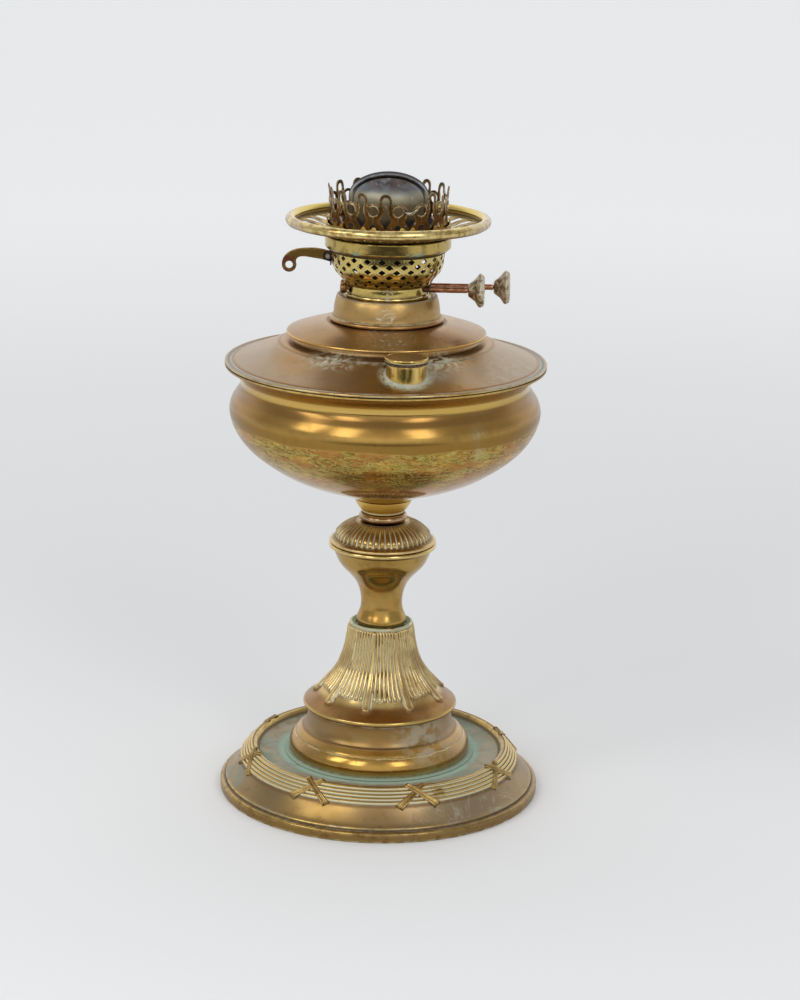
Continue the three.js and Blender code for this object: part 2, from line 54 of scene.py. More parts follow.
BASE_RADIUS = HIGH["base_shell"].x
KNOP_RIM_Z = HIGH["column_baluster"].z
FOUNT_RIM_RADIUS = HIGH["fount_bowl"].x
FOUNT_SEAM_Z = HIGH["fount_bowl"].z
CAP_DISC_RADIUS = HIGH["fount_cap_disc"].x
FILLER = (LOW["filler_cap"] + HIGH["filler_cap"]) / 2
BASKET_RADIUS = HIGH["air_basket"].x
BAND_RADIUS = HIGH["gallery_band"].x
RING_RADIUS = HIGH["shade_ring"].x
LAMP_TOP_Z = HIGH["dome"].z
SPINDLE_Z = (LOW["front_knob"].z + HIGH["front_knob"].z) / 2
SPINDLE_Y = (LOW["front_knob"].y + HIGH["front_knob"].y) / 2
TUBE_Y = (LOW["front_wick_tube"].y + HIGH["front_wick_tube"].y) / 2


# ---------------------------------------------------------------- outlines

def curve(points, pieces=6):
    """A smooth line through the points, with that many short pieces between two of them."""
    given = [Vector(p) for p in points]
    given = [2 * given[0] - given[1]] + given + [2 * given[-1] - given[-2]]
    line = []
    for before, a, b, after in zip(given, given[1:], given[2:], given[3:]):
        for i in range(pieces):
            t = i / pieces
            line.append(tuple(0.5 * (
                2 * a + (b - before) * t
                + (2 * before - 5 * a + 4 * b - after) * t ** 2
                + (3 * a - before - 3 * b + after) * t ** 3
            )))
    return line + [tuple(given[-2])]


def arc(centre, radius, start, end, pieces=8):
    """Part of a circle, from one angle to another in degrees."""
    turns = [math.radians(start + (end - start) * i / pieces) for i in range(pieces + 1)]
    return [(centre[0] + radius * math.cos(t), centre[1] + radius * math.sin(t)) for t in turns]


def beads(start, end, count, rise, pieces=8):
    """Half-round reeds side by side along a straight line, raised to its right."""
    a, b = Vector(start), Vector(end)
    side = Vector((b.y - a.y, a.x - b.x)).normalized()
    line = []
    for i in range(count):
        for k in range(pieces):
            t = k / pieces
            line.append(tuple(a + (b - a) * (i + t) / count + side * rise * math.sin(math.pi * t) ** 0.5))
    return line + [tuple(b)]


def spaced(line, step):
    """The line with extra points, so that none of its pieces is longer than step."""
    made = []
    for a, b in zip(line, line[1:] + line[:1]):
        count = max(1, math.ceil(math.dist(a, b) / step - 0.01))
        made += [tuple(np.array(a) + (np.array(b) - np.array(a)) * i / count) for i in range(count)]
    return made


def at_angle(degrees, radius, height=0.0):
    turn = math.radians(degrees)
    return Vector((radius * math.sin(turn), -radius * math.cos(turn), height))


# ---------------------------------------------------------------- meshes

def add_mesh(name, points, faces, sharp=35.0, marks=None):
    """A mesh object from points in mm, with faces turned outwards and marks as attributes."""
    mesh = bpy.data.meshes.new(name)
    mesh.from_pydata([tuple(p) for p in np.array(points, float) * MM], [], faces)
    for mark, values in (marks or {}).items():
        attribute = mesh.attributes.new(mark, "FLOAT", "POINT")
        attribute.data.foreach_set("value", np.array(values, np.float32))
    work = bmesh.new()
    work.from_mesh(mesh)
    bmesh.ops.remove_doubles(work, verts=work.verts, dist=0.004 * MM)
    bmesh.ops.dissolve_degenerate(work, edges=work.edges, dist=0.0005 * MM)
    bmesh.ops.recalc_face_normals(work, faces=work.faces)
    if work.calc_volume(signed=True) < 0:
        bmesh.ops.reverse_faces(work, faces=work.faces)
    work.to_mesh(mesh)
    work.free()
    mesh.polygons.foreach_set("use_smooth", [True] * len(mesh.polygons))
    mesh.set_sharp_from_angle(angle=math.radians(sharp))
    made = bpy.data.objects.new(name, mesh)
    bpy.context.scene.collection.objects.link(made)
    return made


def hollows(points, rounds, around):
    """How far each point of a grid lies under, and over, the smoothed surface, in mm."""
    soft = points
    for _ in range(rounds):
        soft = 0.5 * soft + 0.25 * (np.roll(soft, 1, 0) + np.roll(soft, -1, 0))
        if around:
            soft = 0.5 * soft + 0.25 * (np.roll(soft, 1, 1) + np.roll(soft, -1, 1))
    along_line = np.roll(points, -1, 0) - np.roll(points, 1, 0)
    along_ring = np.roll(points, -1, 1) - np.roll(points, 1, 1)
    normal = np.cross(along_ring, along_line)
    normal /= np.maximum(np.linalg.norm(normal, axis=2, keepdims=True), 1e-9)
    return ((soft - points) * normal).sum(2)


def spun(name, outline, columns=240, step=1.2, relief=None, axis=(0, 0), depth=0.12, sharp=35.0):
    """A closed outline of (radius, height), anticlockwise, turned about an upright axis.
    relief(radius, height, degrees) lifts the surface by that many mm."""
    line = np.array(spaced(list(outline), step))
    along = np.roll(line, -1, 0) - np.roll(line, 1, 0)
    out = np.stack([along[:, 1], -along[:, 0]], 1)
    out /= np.maximum(np.linalg.norm(out, axis=1, keepdims=True), 1e-9)
    degrees = np.arange(columns) * 360 / columns
    radius = np.repeat(line[:, :1], columns, 1)
    height = np.repeat(line[:, 1:], columns, 1)
    if relief is not None:
        lift = relief(radius, height, np.repeat(degrees[None, :], len(line), 0))
        radius = radius + lift * out[:, :1]
        height = height + lift * out[:, 1:]
    turn = np.radians(degrees)[None, :]
    points = np.stack([radius * np.sin(turn), -radius * np.cos(turn), height], 2)
    low = hollows(points, 4, relief is not None)
    points = points.reshape(-1, 3) + np.array([axis[0], axis[1], 0])
    rows = len(line)
    faces = []
    for i in range(rows):
        j = (i + 1) % rows
        if line[i][0] < 1e-6 and line[j][0] < 1e-6:
            continue
        for k in range(columns):
            m = (k + 1) % columns
            faces.append((i * columns + k, i * columns + m, j * columns + m, j * columns + k))
    marks = {
        "hollow": np.clip(low / depth, 0, 1).ravel(),
        "ridge": np.clip(-low / depth, 0, 1).ravel(),
    }
    return add_mesh(name, points, faces, sharp, marks)


def inside(point, loop):
    odd = False
    for (x0, y0), (x1, y1) in zip(loop, loop[1:] + loop[:1]):
        if (y0 > point[1]) != (y1 > point[1]) and point[0] < (x1 - x0) * (point[1] - y0) / (y1 - y0) + x0:
            odd = not odd
    return odd


def pierced(name, edge, holes, grid, place, thickness, copies=1, sharp=35.0, trim=None):
    """A sheet cut to a flat outline with holes, and bent: place(u, v, copy) gives a point in
    mm. grid is the spacing of extra points inside it. trim(copy) may give another outline
    and holes for one copy. The copies are welded where they meet."""
    points, faces, rims = [], [], []
    cache = {}
    for copy in range(copies):
        outline, cuts = trim(copy) if trim and trim(copy) else (edge, holes)
        key = id(outline)
        if key not in cache:
            cache[key] = (flat_sheet(outline, cuts, grid), outline)
        (flat, triangles, on_rim), _ = cache[key]
        first = len(points)
        points += [place(u, v, copy) for u, v in flat]
        faces += [tuple(first + i for i in t) for t in triangles]
        rims += on_rim
    made = add_mesh(name, points, faces, sharp, {"ridge": rims})
    thicken(made, thickness, sharp)
    return made


def flat_sheet(edge, holes, grid):
    """Triangles that fill a flat outline round its holes."""
    loops = [list(edge)] + [list(h) for h in holes]
    points, lines = [], []
    for loop in loops:
        first = len(points)
        points += [Vector(p) for p in loop]
        lines += [(first + i, first + (i + 1) % len(loop)) for i in range(len(loop))]
    rim_count = len(points)
    rim = np.array([tuple(p) for p in points])
    low, high = rim.min(0), rim.max(0)
    for u in np.arange(low[0] + grid / 2, high[0], grid):
        for v in np.arange(low[1] + grid / 2, high[1], grid):
            if np.min(np.hypot(rim[:, 0] - u, rim[:, 1] - v)) < 0.45 * grid:
                continue
            if inside((u, v), loops[0]) and not any(inside((u, v), h) for h in loops[1:]):
                points.append(Vector((u, v)))
    found, _, triangles, origin, _, _ = delaunay_2d_cdt(points, lines, [], 0, 1e-6)
    kept = []
    for t in triangles:
        middle = sum((found[i] for i in t), Vector((0, 0))) / len(t)
        if inside(middle, loops[0]) and not any(inside(middle, h) for h in loops[1:]):
            kept.append(tuple(t))
    on_rim = [1.0 if any(i < rim_count for i in given) else 0.0 for given in origin]
    return [tuple(p) for p in found], kept, on_rim


def thicken(made, thickness, sharp):
    """Gives a bent sheet its thickness, on the side that its normals don't point to."""
    solid = made.modifiers.new("thickness", "SOLIDIFY")
    solid.thickness = thickness * MM
    solid.offset = -1
    settle(made, sharp)


def settle(made, sharp=35.0):
    """Applies the modifiers of a piece."""
    graph = bpy.context.evaluated_depsgraph_get()
    mesh = bpy.data.meshes.new_from_object(made.evaluated_get(graph))
    made.modifiers.clear()
    made.data = mesh
    mesh.polygons.foreach_set("use_smooth", [True] * len(mesh.polygons))
    mesh.set_sharp_from_angle(angle=math.radians(sharp))


def joined(name, pieces):
    """Several mesh objects as one."""
    for piece in pieces:
        piece.select_set(True)
    with bpy.context.temp_override(
        active_object=pieces[0], selected_objects=pieces, selected_editable_objects=pieces,
    ):
        bpy.ops.object.join()
    pieces[0].name = name
    pieces[0].data.name = name
    return pieces[0]


def ride(piece, body, nodes, finish):
    """Puts a finished piece in the place of the CAD nodes that it stands for."""
    piece.data.materials.clear()
    piece.data.materials.append(finish)
    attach(piece, body)
    if nodes:
        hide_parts(*nodes)
    return piece


# ---------------------------------------------------------------- finishes

def tint(code):
    """A colour in the shader's own linear numbers, from its usual hex code."""
    parts = [int(code[i:i + 2], 16) / 255 for i in (0, 2, 4)]
    return tuple(p / 12.92 if p <= 0.04045 else ((p + 0.055) / 1.055) ** 2.4 for p in parts) + (1.0,)


POLISHED = tint("b8955a")
OLIVE_GOLD = tint("a98446")
YELLOW_BRASS = tint("d2b56a")
AGED_BRASS = tint("94703f")
BROWN = tint("6f5333")
DARK_BROWN = tint("3a2c1e")
COPPER = tint("b07a4c")
ORANGE = tint("b9782f")
STEEL_GREY = tint("8b8a88")
VERDIGRIS = tint("86a596")
TURQUOISE = tint("5f9f93")
CREAM = tint("c9c4a6")
HAZE = tint("a8a49a")


class Finish:
    """One material. Its layers cover each other in the order in which they are laid."""

    def __init__(self, name, colour, metal=1.0, rough=0.3, coat=0.0, coat_rough=0.4):
        self.material = bpy.data.materials.new(name)
        self.material.use_nodes = True
        self.tree = self.material.node_tree
        self.shader = self.tree.nodes["Principled BSDF"]
        self.shader.inputs["Coat Weight"].default_value = coat
        self.shader.inputs["Coat Roughness"].default_value = coat_rough
        self.colour, self.metal, self.rough = colour, metal, rough
        self.height = None
        coordinates = self.tree.nodes.new("ShaderNodeTexCoord").outputs["Object"]
        scaled = self.node("VectorMath", {"operation": "SCALE"}, {0: coordinates, "Scale": 1 / MM})
        self.place = scaled.outputs[0]
        split = self.node("SeparateXYZ", {}, {0: self.place})
        self.x, self.y, self.z = split.outputs
        self.radius = self.maths("SQRT", self.maths(
            "ADD", self.maths("MULTIPLY", self.x, self.x), self.maths("MULTIPLY", self.y, self.y)))
        self.bearing = self.maths("ARCTAN2", self.x, self.maths("MULTIPLY", self.y, -1.0))
        self.hollow = self.mark("hollow")
        self.ridge = self.mark("ridge")

    def node(self, kind, settings, values):
        made = self.tree.nodes.new("ShaderNode" + kind)
        for key, value in settings.items():
            setattr(made, key, value)
        for key, value in values.items():
            self.put(made.inputs[key], value)
        return made

    def put(self, socket, value):
        if isinstance(value, bpy.types.NodeSocket):
            self.tree.links.new(value, socket)
        else:
            socket.default_value = value

    def maths(self, operation, a, b=0.0, clamp=False):
        settings = {"operation": operation, "use_clamp": clamp}
        return self.node("Math", settings, {0: a, 1: b}).outputs[0]

    def mark(self, name):
        return self.node("Attribute", {"attribute_name": name}, {}).outputs["Fac"]

    def between(self, value, low, high):
        """0 at low and 1 at high, eased."""
        settings = {"interpolation_type": "SMOOTHSTEP"}
        values = {"Value": value, "From Min": low, "From Max": high}
        return self.node("MapRange", settings, values).outputs["Result"]

    def noise(self, size, detail=4.0, rough=0.55, stretch=None, warp=0.0, shift=0.0):
        """Noise whose spots are about size mm across."""
        vector = self.place
        if stretch or shift:
            values = {"Vector": vector, "Location": (shift, shift * 0.7, shift * 0.3)}
            if stretch:
                values["Scale"] = stretch
            vector = self.node("Mapping", {}, values).outputs[0]
        values = {"Vector": vector, "Scale": 1 / size, "Detail": detail, "Roughness": rough, "Distortion": warp}
        return self.node("TexNoise", {}, values).outputs["Fac"]

    def turned(self, size_round, size_up, detail=4.0, rough=0.55, warp=0.0, shift=0.0):
        """Noise that runs round the lamp: its spots are so many mm long and high."""
        round_lamp = self.maths("MULTIPLY", self.bearing, 60.0)
        parts = {0: round_lamp, 1: self.maths("MULTIPLY", self.z, size_round / size_up), 2: self.radius}
        vector = self.node("CombineXYZ", {}, parts).outputs[0]
        if shift:
            vector = self.node("Mapping", {}, {"Vector": vector, "Location": (shift, shift, shift)}).outputs[0]
        values = {"Vector": vector, "Scale": 1 / size_round, "Detail": detail, "Roughness": rough, "Distortion": warp}
        return self.node("TexNoise", {}, values).outputs["Fac"]

    def patches(self, size, low, high, **kind):
        return self.between(self.noise(size, **kind), low, high)

    def times(self, *masks):
        made = masks[0]
        for mask in masks[1:]:
            made = self.maths("MULTIPLY", made, mask, clamp=True)
        return made

    def zone(self, low, high, soft=1.0):
        """1 between two heights, falling to 0 within soft mm outside them."""
        return self.times(self.between(self.z, low - soft, low), self.between(self.z, high + soft, high))

    def spread(self, low, high, soft=1.0):
        """1 between two distances from the lamp's axis, falling to 0 within soft mm."""
        return self.times(self.between(self.radius, low - soft, low), self.between(self.radius, high + soft, high))

    def near_ring(self, radius, height, reach):
        """1 on a circle round the lamp, falling to 0 at reach mm from it."""
        off = self.maths("SUBTRACT", self.radius, radius)
        up = self.maths("SUBTRACT", self.z, height)
        far = self.maths("SQRT", self.maths("ADD", self.maths("MULTIPLY", off, off), self.maths("MULTIPLY", up, up)))
        return self.between(far, reach, 0.0)

    def near_point(self, point, reach, core=0.0, squash=(1, 1, 1)):
        moved = self.node("VectorMath", {"operation": "SUBTRACT"}, {0: self.place, 1: tuple(point)})
        scaled = self.node("VectorMath", {"operation": "MULTIPLY"}, {0: moved.outputs[0], 1: squash})
        far = self.node("VectorMath", {"operation": "LENGTH"}, {0: scaled.outputs[0]}).outputs["Value"]
        return self.between(far, reach, core)

    def blend(self, a, b, mask):
        """a where the mask is 0 and b where it is 1, for two colours or two numbers."""
        if not isinstance(a, (float, int)) and not isinstance(b, (float, int)):
            if self.is_colour(a) or self.is_colour(b):
                made = self.node("Mix", {"data_type": "RGBA"}, {0: mask, 6: a, 7: b})
                return made.outputs[2]
        return self.node("Mix", {"data_type": "FLOAT"}, {0: mask, 2: a, 3: b}).outputs[0]

    @staticmethod
    def is_colour(value):
        return isinstance(value, tuple) or getattr(value, "type", "") == "RGBA"

    def cover(self, mask, colour=None, metal=None, rough=None, rise=None):
        """Lays a layer where the mask is 1. rise lifts the surface there, in mm."""
        if colour is not None:
            self.colour = self.blend(self.colour, colour, mask)
        if metal is not None:
            self.metal = self.blend(self.metal, metal, mask)
        if rough is not None:
            self.rough = self.blend(self.rough, rough, mask)
        if rise is not None:
            self.lift(self.maths("MULTIPLY", mask, rise))
        return self

    def lift(self, height):
        self.height = height if self.height is None else self.maths("ADD", self.height, height)

    def done(self):
        self.put(self.shader.inputs["Base Color"], self.colour)
        self.put(self.shader.inputs["Metallic"], self.metal)
        self.put(self.shader.inputs["Roughness"], self.rough)
        if self.height is not None:
            bump = self.node("Bump", {}, {"Strength": 1.0, "Distance": MM, "Height": self.height})
            self.put(self.shader.inputs["Normal"], bump.outputs[0])
        return self.material


def brass(name, colour, aged, rough, mottle=14.0, worn=POLISHED, dirt=BROWN, green=0.35, cloud=0.6):
    """The layers that every brass piece has: clouds of tarnish, fine spots, dark and then
    whitish green deposit in hollows, and rubbed ridges."""
    made = Finish(name, colour, 1.0, rough)
    clouds = made.times(made.patches(mottle, 0.34, 0.7, detail=6.0, warp=0.6), cloud)
    made.cover(clouds, aged, rough=rough + 0.07)
    spots = made.times(made.patches(mottle / 6, 0.56, 0.76, detail=5.0, shift=7.0), cloud)
    made.cover(spots, dirt, rough=rough + 0.14)
    grain = made.maths("SUBTRACT", made.noise(0.9, 5.0, 0.7), 0.5)
    made.rough = made.maths("ADD", made.rough, made.maths("MULTIPLY", grain, 0.1))
    made.lift(made.maths("MULTIPLY", made.noise(1.1, 4.0, 0.6), 0.008))
    made.cover(made.times(made.between(made.hollow, 0.1, 1.0), 0.75), dirt, 0.8, 0.5)
    crust = made.times(made.between(made.hollow, 0.3, 0.9), made.patches(3.0, 0.36, 0.66, shift=3.0), green)
    made.cover(crust, CREAM, 0.05, 0.85, rise=0.04)
    made.cover(made.times(made.ridge, made.patches(4.0, 0.3, 0.6, shift=5.0), 0.75), worn, 1.0, 0.22)
    return made


def simple(name, colour, other, metal, rough, size=3.0):
    """A two-tone finish for pieces inside the lamp."""
    made = Finish(name, colour, metal, rough)
    made.cover(made.patches(size, 0.4, 0.65, detail=6.0), other, rough=min(rough + 0.2, 0.95))
    made.lift(made.maths("MULTIPLY", made.noise(size / 4, 5.0, 0.6), 0.03))
    return made.done()


# ---------------------------------------------------------------- foot

def loft(name, rings, marks=None):
    """A closed body through rings of points."""
    count = len(rings[0])
    points = [p for ring in rings for p in ring]
    faces = [tuple(range(count)), tuple(range(len(points) - count, len(points)))]
    for i in range(len(rings) - 1):
        for k in range(count):
            m = (k + 1) % count
            faces.append((i * count + k, i * count + m, (i + 1) * count + m, (i + 1) * count + k))
    return add_mesh(name, points, faces, 40.0, marks)


BORDER_FOOT, BORDER_TOP = (80.9, 18.1), (73.7, 26.0)     # the reeds lie between these
BORDER_REEDS = 5


def base_shell():
    rim = arc((91.9, 1.0), BASE_RADIUS - 91.9, -90, 0, 5) + arc((91.3, 4.3), BASE_RADIUS - 91.3, 0, 90, 6)
    groove = [(90.7, 5.75), (90.2, 6.0), (89.85, 6.5), (89.8, 7.1)]
    cove = curve([(89.5, 7.5), (87.6, 9), (84.9, 12), (82.6, 15), (81.1, 17.6)])
    reeds = beads(BORDER_FOOT, BORDER_TOP, BORDER_REEDS, 1.0)
    roll = curve([(73.0, 26.2), (72.0, 25.9), (71.1, 24.9)], 3)
    gutter = curve([(70.5, 23.7), (69.6, 22.5), (68.2, 22.0)], 3) + [(60, 22.0), (52, 22.0), (5.2, 22.0)]
    under = [
        (5.2, 20.8), (69.5, 20.8), (72.2, 24.2), (74.4, 23.2), (79.3, 17.0), (83.4, 11.0),
        (87.9, 6.6), (91.4, 4.4), (91.4, 1.5), (90.2, 0.0),
    ]
    return spun("base_shell_spun", rim + groove + cove + reeds + roll + gutter + under, 300, 0.75, depth=0.08)


def border_band(degrees, way, lifted):
    """One ribbon of a crossed tie: it runs slantwise over the reeds of the border."""
    low, high = Vector((81.9, 16.4)), Vector((72.7, 26.8))
    slope = (high - low).normalized()
    out = Vector((slope.y, -slope.x))
    steps, across = 22, 12
    rings = []
    for i in range(steps + 1):
        t = i / steps
        shift = way * (-11.6 + 17.2 * t)
        half = 2.6 - 0.7 * min(1, t / 0.6)
        ends = min(1.0, t / 0.06, (1 - t) / 0.06)
        cross_over = lifted * math.exp(-((t - 0.67) / 0.14) ** 2)
        ring = []
        for k in range(across + 1):
            w = -1 + 2 * k / across
            rise = (1.6 - 0.26 * math.cos(2 * math.pi * w) + cross_over) * ends ** 0.5
            if abs(w) > 0.99:
                rise = -0.3
            s = low + (high - low) * t + out * rise
            slant = w * half
            s = s - slope * slant * 0.55 * way
            turn = degrees + math.degrees((shift + slant * 0.83) / s.x)
            ring.append(at_angle(turn, s.x, s.y))
        rings.append(ring)
    edge = [1.0 if k in (0, 1, across - 1, across) else 0.0 for k in range(across + 1)]
    middle = [0.8 if k in (4, 8) else 0.2 for k in range(across + 1)]
    marks = {"hollow": edge * (steps + 1), "ridge": middle * (steps + 1)}
    return loft("border_band", rings, marks)


def border_ribbons():
    first, ties = 16.7, 8
    bands = []
    for i in range(ties):
        degrees = first + i * 360 / ties
        bands.append(border_band(degrees, 1, 0.0))
        bands.append(border_band(degrees, -1, 0.55))
    return joined("border_ribbons", bands)


def foot_dome():
    foot = [(55.2, 22.3), (55.2, 22.6), (54.2, 22.9), (52.7, 23.0)]
    roll = arc((42.8, 26.0), 9.8, -17, 52, 16)
    crease = curve([(48.4, 34.5), (46.6, 36.0), (45.3, 37.1)], 3) + [(44.9, 37.7), (44.4, 37.9)]
    cove = curve([(43.9, 38.3), (42.9, 40.2), (42.2, 42.6), (41.8, 45.5), (41.8, 48.2), (42.1, 50.2)])
    under = [
        (5.2, 50.2), (5.2, 49), (41.1, 49), (40.7, 45.4), (41.4, 40.7), (43.7, 37), (47.4, 33.9), (49.9, 31.6),
        (51.2, 28), (51.3, 22.3),
    ]
    return spun("foot_dome_spun", foot + roll + crease + cove + under, 220, 0.9)


BELL_SIDE = [
    (43.0, 53.9), (40.2, 55.6), (38.1, 57.1), (36.3, 58.6), (34.8, 60.1), (32.4, 62.9), (29.6, 66),
    (27.3, 69), (25.4, 72), (23.7, 75), (22.55, 78), (21.5, 81), (20.6, 84), (19.9, 87), (19.4, 90),
    (18.9, 93), (18.55, 96), (18.25, 99.2),
]


BELL_PITCH, BELL_TURN = 40, 11.9             # degrees from rib to rib, and of the first one
RIB_HALF = 4.3
REED_WIDTH = (BELL_PITCH - 2 * RIB_HALF) / 6


def bell_reeds(radius, height, degrees):
    """Nine wide ribs with six narrow reeds between each two, all widening downwards."""
    rib_end, reed_end = 38.9, 33.2
    outer = np.interp(height, [p[1] for p in BELL_SIDE], [p[0] for p in BELL_SIDE])
    on_side = (np.abs(radius - outer) < 0.6) & (height > BELL_SIDE[0][1]) & (height < BELL_SIDE[-1][1])
    local = (degrees + BELL_TURN + BELL_PITCH / 2) % BELL_PITCH - BELL_PITCH / 2
    across = local / RIB_HALF
    is_rib = np.abs(across) < 1
    wide = np.sqrt(np.clip(1 - across ** 2, 0, 1))
    along = ((np.abs(local) - RIB_HALF) / REED_WIDTH) % 1
    narrow = np.sin(np.pi * np.clip(along, 0, 1)) ** 0.8
    taper = np.clip((radius - 17) / 18, 0, 1)
    rib_tip = rib_end - 2.6 * (1 - wide)
    reed_tip = reed_end - 1.3 * (1 - narrow)
    rib = (1.0 + 0.9 * taper) * wide ** 0.8 * np.clip((rib_tip - radius) / 0.9, 0, 1) ** 0.5
    reed = (0.75 + 0.7 * taper) * narrow * np.clip((reed_tip - radius) / 0.8, 0, 1) ** 0.5
    top = np.clip((BELL_SIDE[-1][1] - height) / 0.8, 0, 1)
    return np.where(on_side, np.where(is_rib, rib, reed) * top, 0.0)


def reeded_bell():
    flange = [(42.2, 50.6), (43.9, 50.6)] + arc((43.7, 51.6), 0.95, -80, 0, 4) + arc((43.3, 52.2), 1.35, 0, 70, 5)
    lip = arc((17.3, 100.1), 0.95, 0, 130, 7) + [(16.4, 100.4), (15.5, 100.25), (14.7, 99.9), (14.5, 98.9)]
    under = [(5.2, 98.9), (5.2, 97.7), (16.6, 97.7), (19.2, 84), (22, 75), (26.4, 68), (36, 57), (41.8, 52)]
    outline = flange + curve(BELL_SIDE, 5) + lip + under
    return spun("reeded_bell_spun", outline, 792, 0.55, bell_reeds, depth=0.08)


# ---------------------------------------------------------------- column

def column_baluster():
    foot = [(5.2, 99.2), (13.2, 99.2)]
    side = curve([
        (13.6, 99.6), (14.3, 101.3), (14.3, 103.2), (13.7, 105), (12.9, 107), (12.2, 109.5), (11.9, 112.5),
        (12.0, 115.3), (12.5, 118.5), (13.4, 121.7), (14.8, 124.8), (16.9, 127.8), (19.5, 130.7),
        (22.3, 133.6), (24.6, 136.5), (26.4, 139.9), (27.7, 143), (28.6, 145.2),
    ], 5)
    lip = [(29.2, 145.8)] + arc((29.7, 147.2), 1.25, -80, 75, 8)
    under = [
        (29.3, KNOP_RIM_Z - 0.1), (27, 145.2), (22, 136), (16.8, 130), (11.4, 120), (10.6, 112.5),
        (12.2, 103), (12, 100.7), (5.2, 100.7),
    ]
    return spun("column_baluster_turned", foot + side + lip + under, 144, 0.8)


def knop_gadroons(radius, height, degrees):
    """Fifty narrow fillets with a round foot, and a shallow flute between each two."""
    count, foot, top = 50, 27.0, 15.6
    outer = np.interp(radius, [15.2, 17.8, 20.6, 23.2, 25.3, 26.6, 27.4], [161.2, 160.4, 159.2, 157.7, 155.9, 154, 152.1])
    on_face = (np.abs(height - outer) < 0.5) & (radius < 27.5) & (radius > top)
    across = (degrees * count / 360) % 1 - 0.5
    inward = np.clip((foot - radius) / 0.5, 0, 1) * np.clip((radius - top) / 0.8, 0, 1)
    fillet = 0.5 * np.exp(-(across / 0.11) ** 2) * inward ** 0.5
    blob = 0.3 * np.exp(-(across / 0.2) ** 2 - ((radius - 26.5) / 0.6) ** 2)
    flute = 0.3 * np.cos(np.pi * np.clip((0.5 - np.abs(across)) / 0.36, 0, 1) / 2) * inward
    return np.where(on_face, fillet + blob + flute, 0.0)


def knop_cap():
    band = [(29.0, 148.75)] + arc((29.6, 149.7), 1.0, -85, 45, 6) + curve([(29.9, 150.6), (28.6, 151.0), (27.8, 151.5)], 3)
    face = curve([
        (27.4, 152.1), (26.6, 154.0), (25.3, 155.9), (23.2, 157.7), (20.6, 159.2), (17.8, 160.4), (15.5, 161.1),
    ], 8)
    under = [(14.6, 161.3), (5.2, 161.3), (5.2, 160.0), (14.6, 160.0), (19.6, 158.2), (24, 154.4), (26.4, 150.4)]
    return spun("knop_cap_gadrooned", band + face + under, 700, 0.5, knop_gadroons, depth=0.07)


def neck_ring():
    bead = arc((11.5, 164.1), 2.4, -84, 84, 14)
    return spun("neck_ring_turned", [(5.2, 161.7)] + bead + [(5.2, 166.5)], 96, 0.7)


def fount_foot():
    collar = [(11.5, 166.9)] + arc((11.9, 167.4), 0.5, -80, 80, 5)
    side = curve([(12.4, 168.1), (13.7, 169.2), (14.9, 171.1), (16.0, 173.1), (16.9, 174.9)], 5)
    core = [(0, 174.9), (0, 172.5), (4.4, 172.5), (4.4, 166.9)]
    return spun("fount_foot_turned", collar + side + core, 96, 0.8)


# ---------------------------------------------------------------- oil fount

def fount_bowl():
    side = curve([
        (17, 175.2), (20.9, 177), (28.3, 180), (36.9, 183), (45.8, 186.1), (52.7, 189), (58.7, 192), (63.6, 195),
        (68, 198), (72, 201), (75.6, 204), (78.7, 207), (81.3, 210), (83.4, 213), (85.1, 216), (86.5, 219),
        (87.5, 222), (88.1, 225), (88.3, 227.6), (87.9, 230.3), (87.0, 233), (85.7, 235.4), (84.3, 237.4),
        (83.0, 239.3), (82.3, 241.0), (82.1, 242.7), (82.6, 244.9), (84.3, 247.6), (86.9, 250.2), (89.3, 251.8),
    ], 4)
    rim = [(90.3, 252.1), (90.9, 252.5), (FOUNT_RIM_RADIUS, 253.0), (FOUNT_RIM_RADIUS, FOUNT_SEAM_Z)]
    inner = [
        (89.6, FOUNT_SEAM_Z), (84, 248.8), (80.8, 241.4), (81.2, 238.6), (86, 231.8), (87, 226.6), (80.3, 211),
        (71, 202), (57.9, 193.2), (45.2, 187.2), (27.6, 181.2), (16.4, 176.4), (0, 176.4),
    ]
    return spun("fount_bowl_spun", [(0, 175.2)] + side + rim + inner, 300, 1.2)


SHOULDER_CONE = [(86.0, 255.5), (83, 256.6), (79.3, 258), (75.2, 259.5), (71.3, 261), (67.8, 262.5), (64.7, 264), (62, 265.3)]


def fount_shoulder():
    edge = [(89.7, 253.95), (90.6, 253.95)] + arc((90.2, 254.6), 0.8, -30, 110, 6)
    gutter = [(89.5, 255.1), (89.0, 254.8), (88.5, 254.75), (88.1, 254.95)]
    ridge = [(87.7, 255.25), (87.2, 255.35), (86.8, 255.2), (86.4, 255.15)]
    crease = [(60.9, 265.6), (60.0, 265.9)] + curve([(59.2, 266.3), (57.4, 266.8), (54.5, 267.1), (52.9, 267.8), (52.3, 269)], 4)
    under_cap = [(52.3, 270.4), (36, 276.2), (28.2, 276.6), (28.2, 275.4), (36, 275.0), (51.1, 269.8)]
    inner = [(51.1, 266.1), (58.2, 265.0), (71, 259.7), (86.6, 253.9)]
    outline = edge + gutter + ridge + curve(SHOULDER_CONE, 4) + crease + under_cap + inner
    made = spun("fount_shoulder_spun", outline, 300, 1.1)
    throat = spun("throat_cutter", [(0, 240), (9.4, 240), (9.4, 275), (0, 275)], 48, 20, axis=(FILLER.x, FILLER.y))
    return carve(made, throat)


def carve(made, cutter):
    """Cuts one body with another, which is then removed."""
    cut = made.modifiers.new("cut", "BOOLEAN")
    cut.operation = "DIFFERENCE"
    cut.solver = "EXACT"
    cut.object = cutter
    settle(made)
    bpy.data.objects.remove(cutter)
    return made


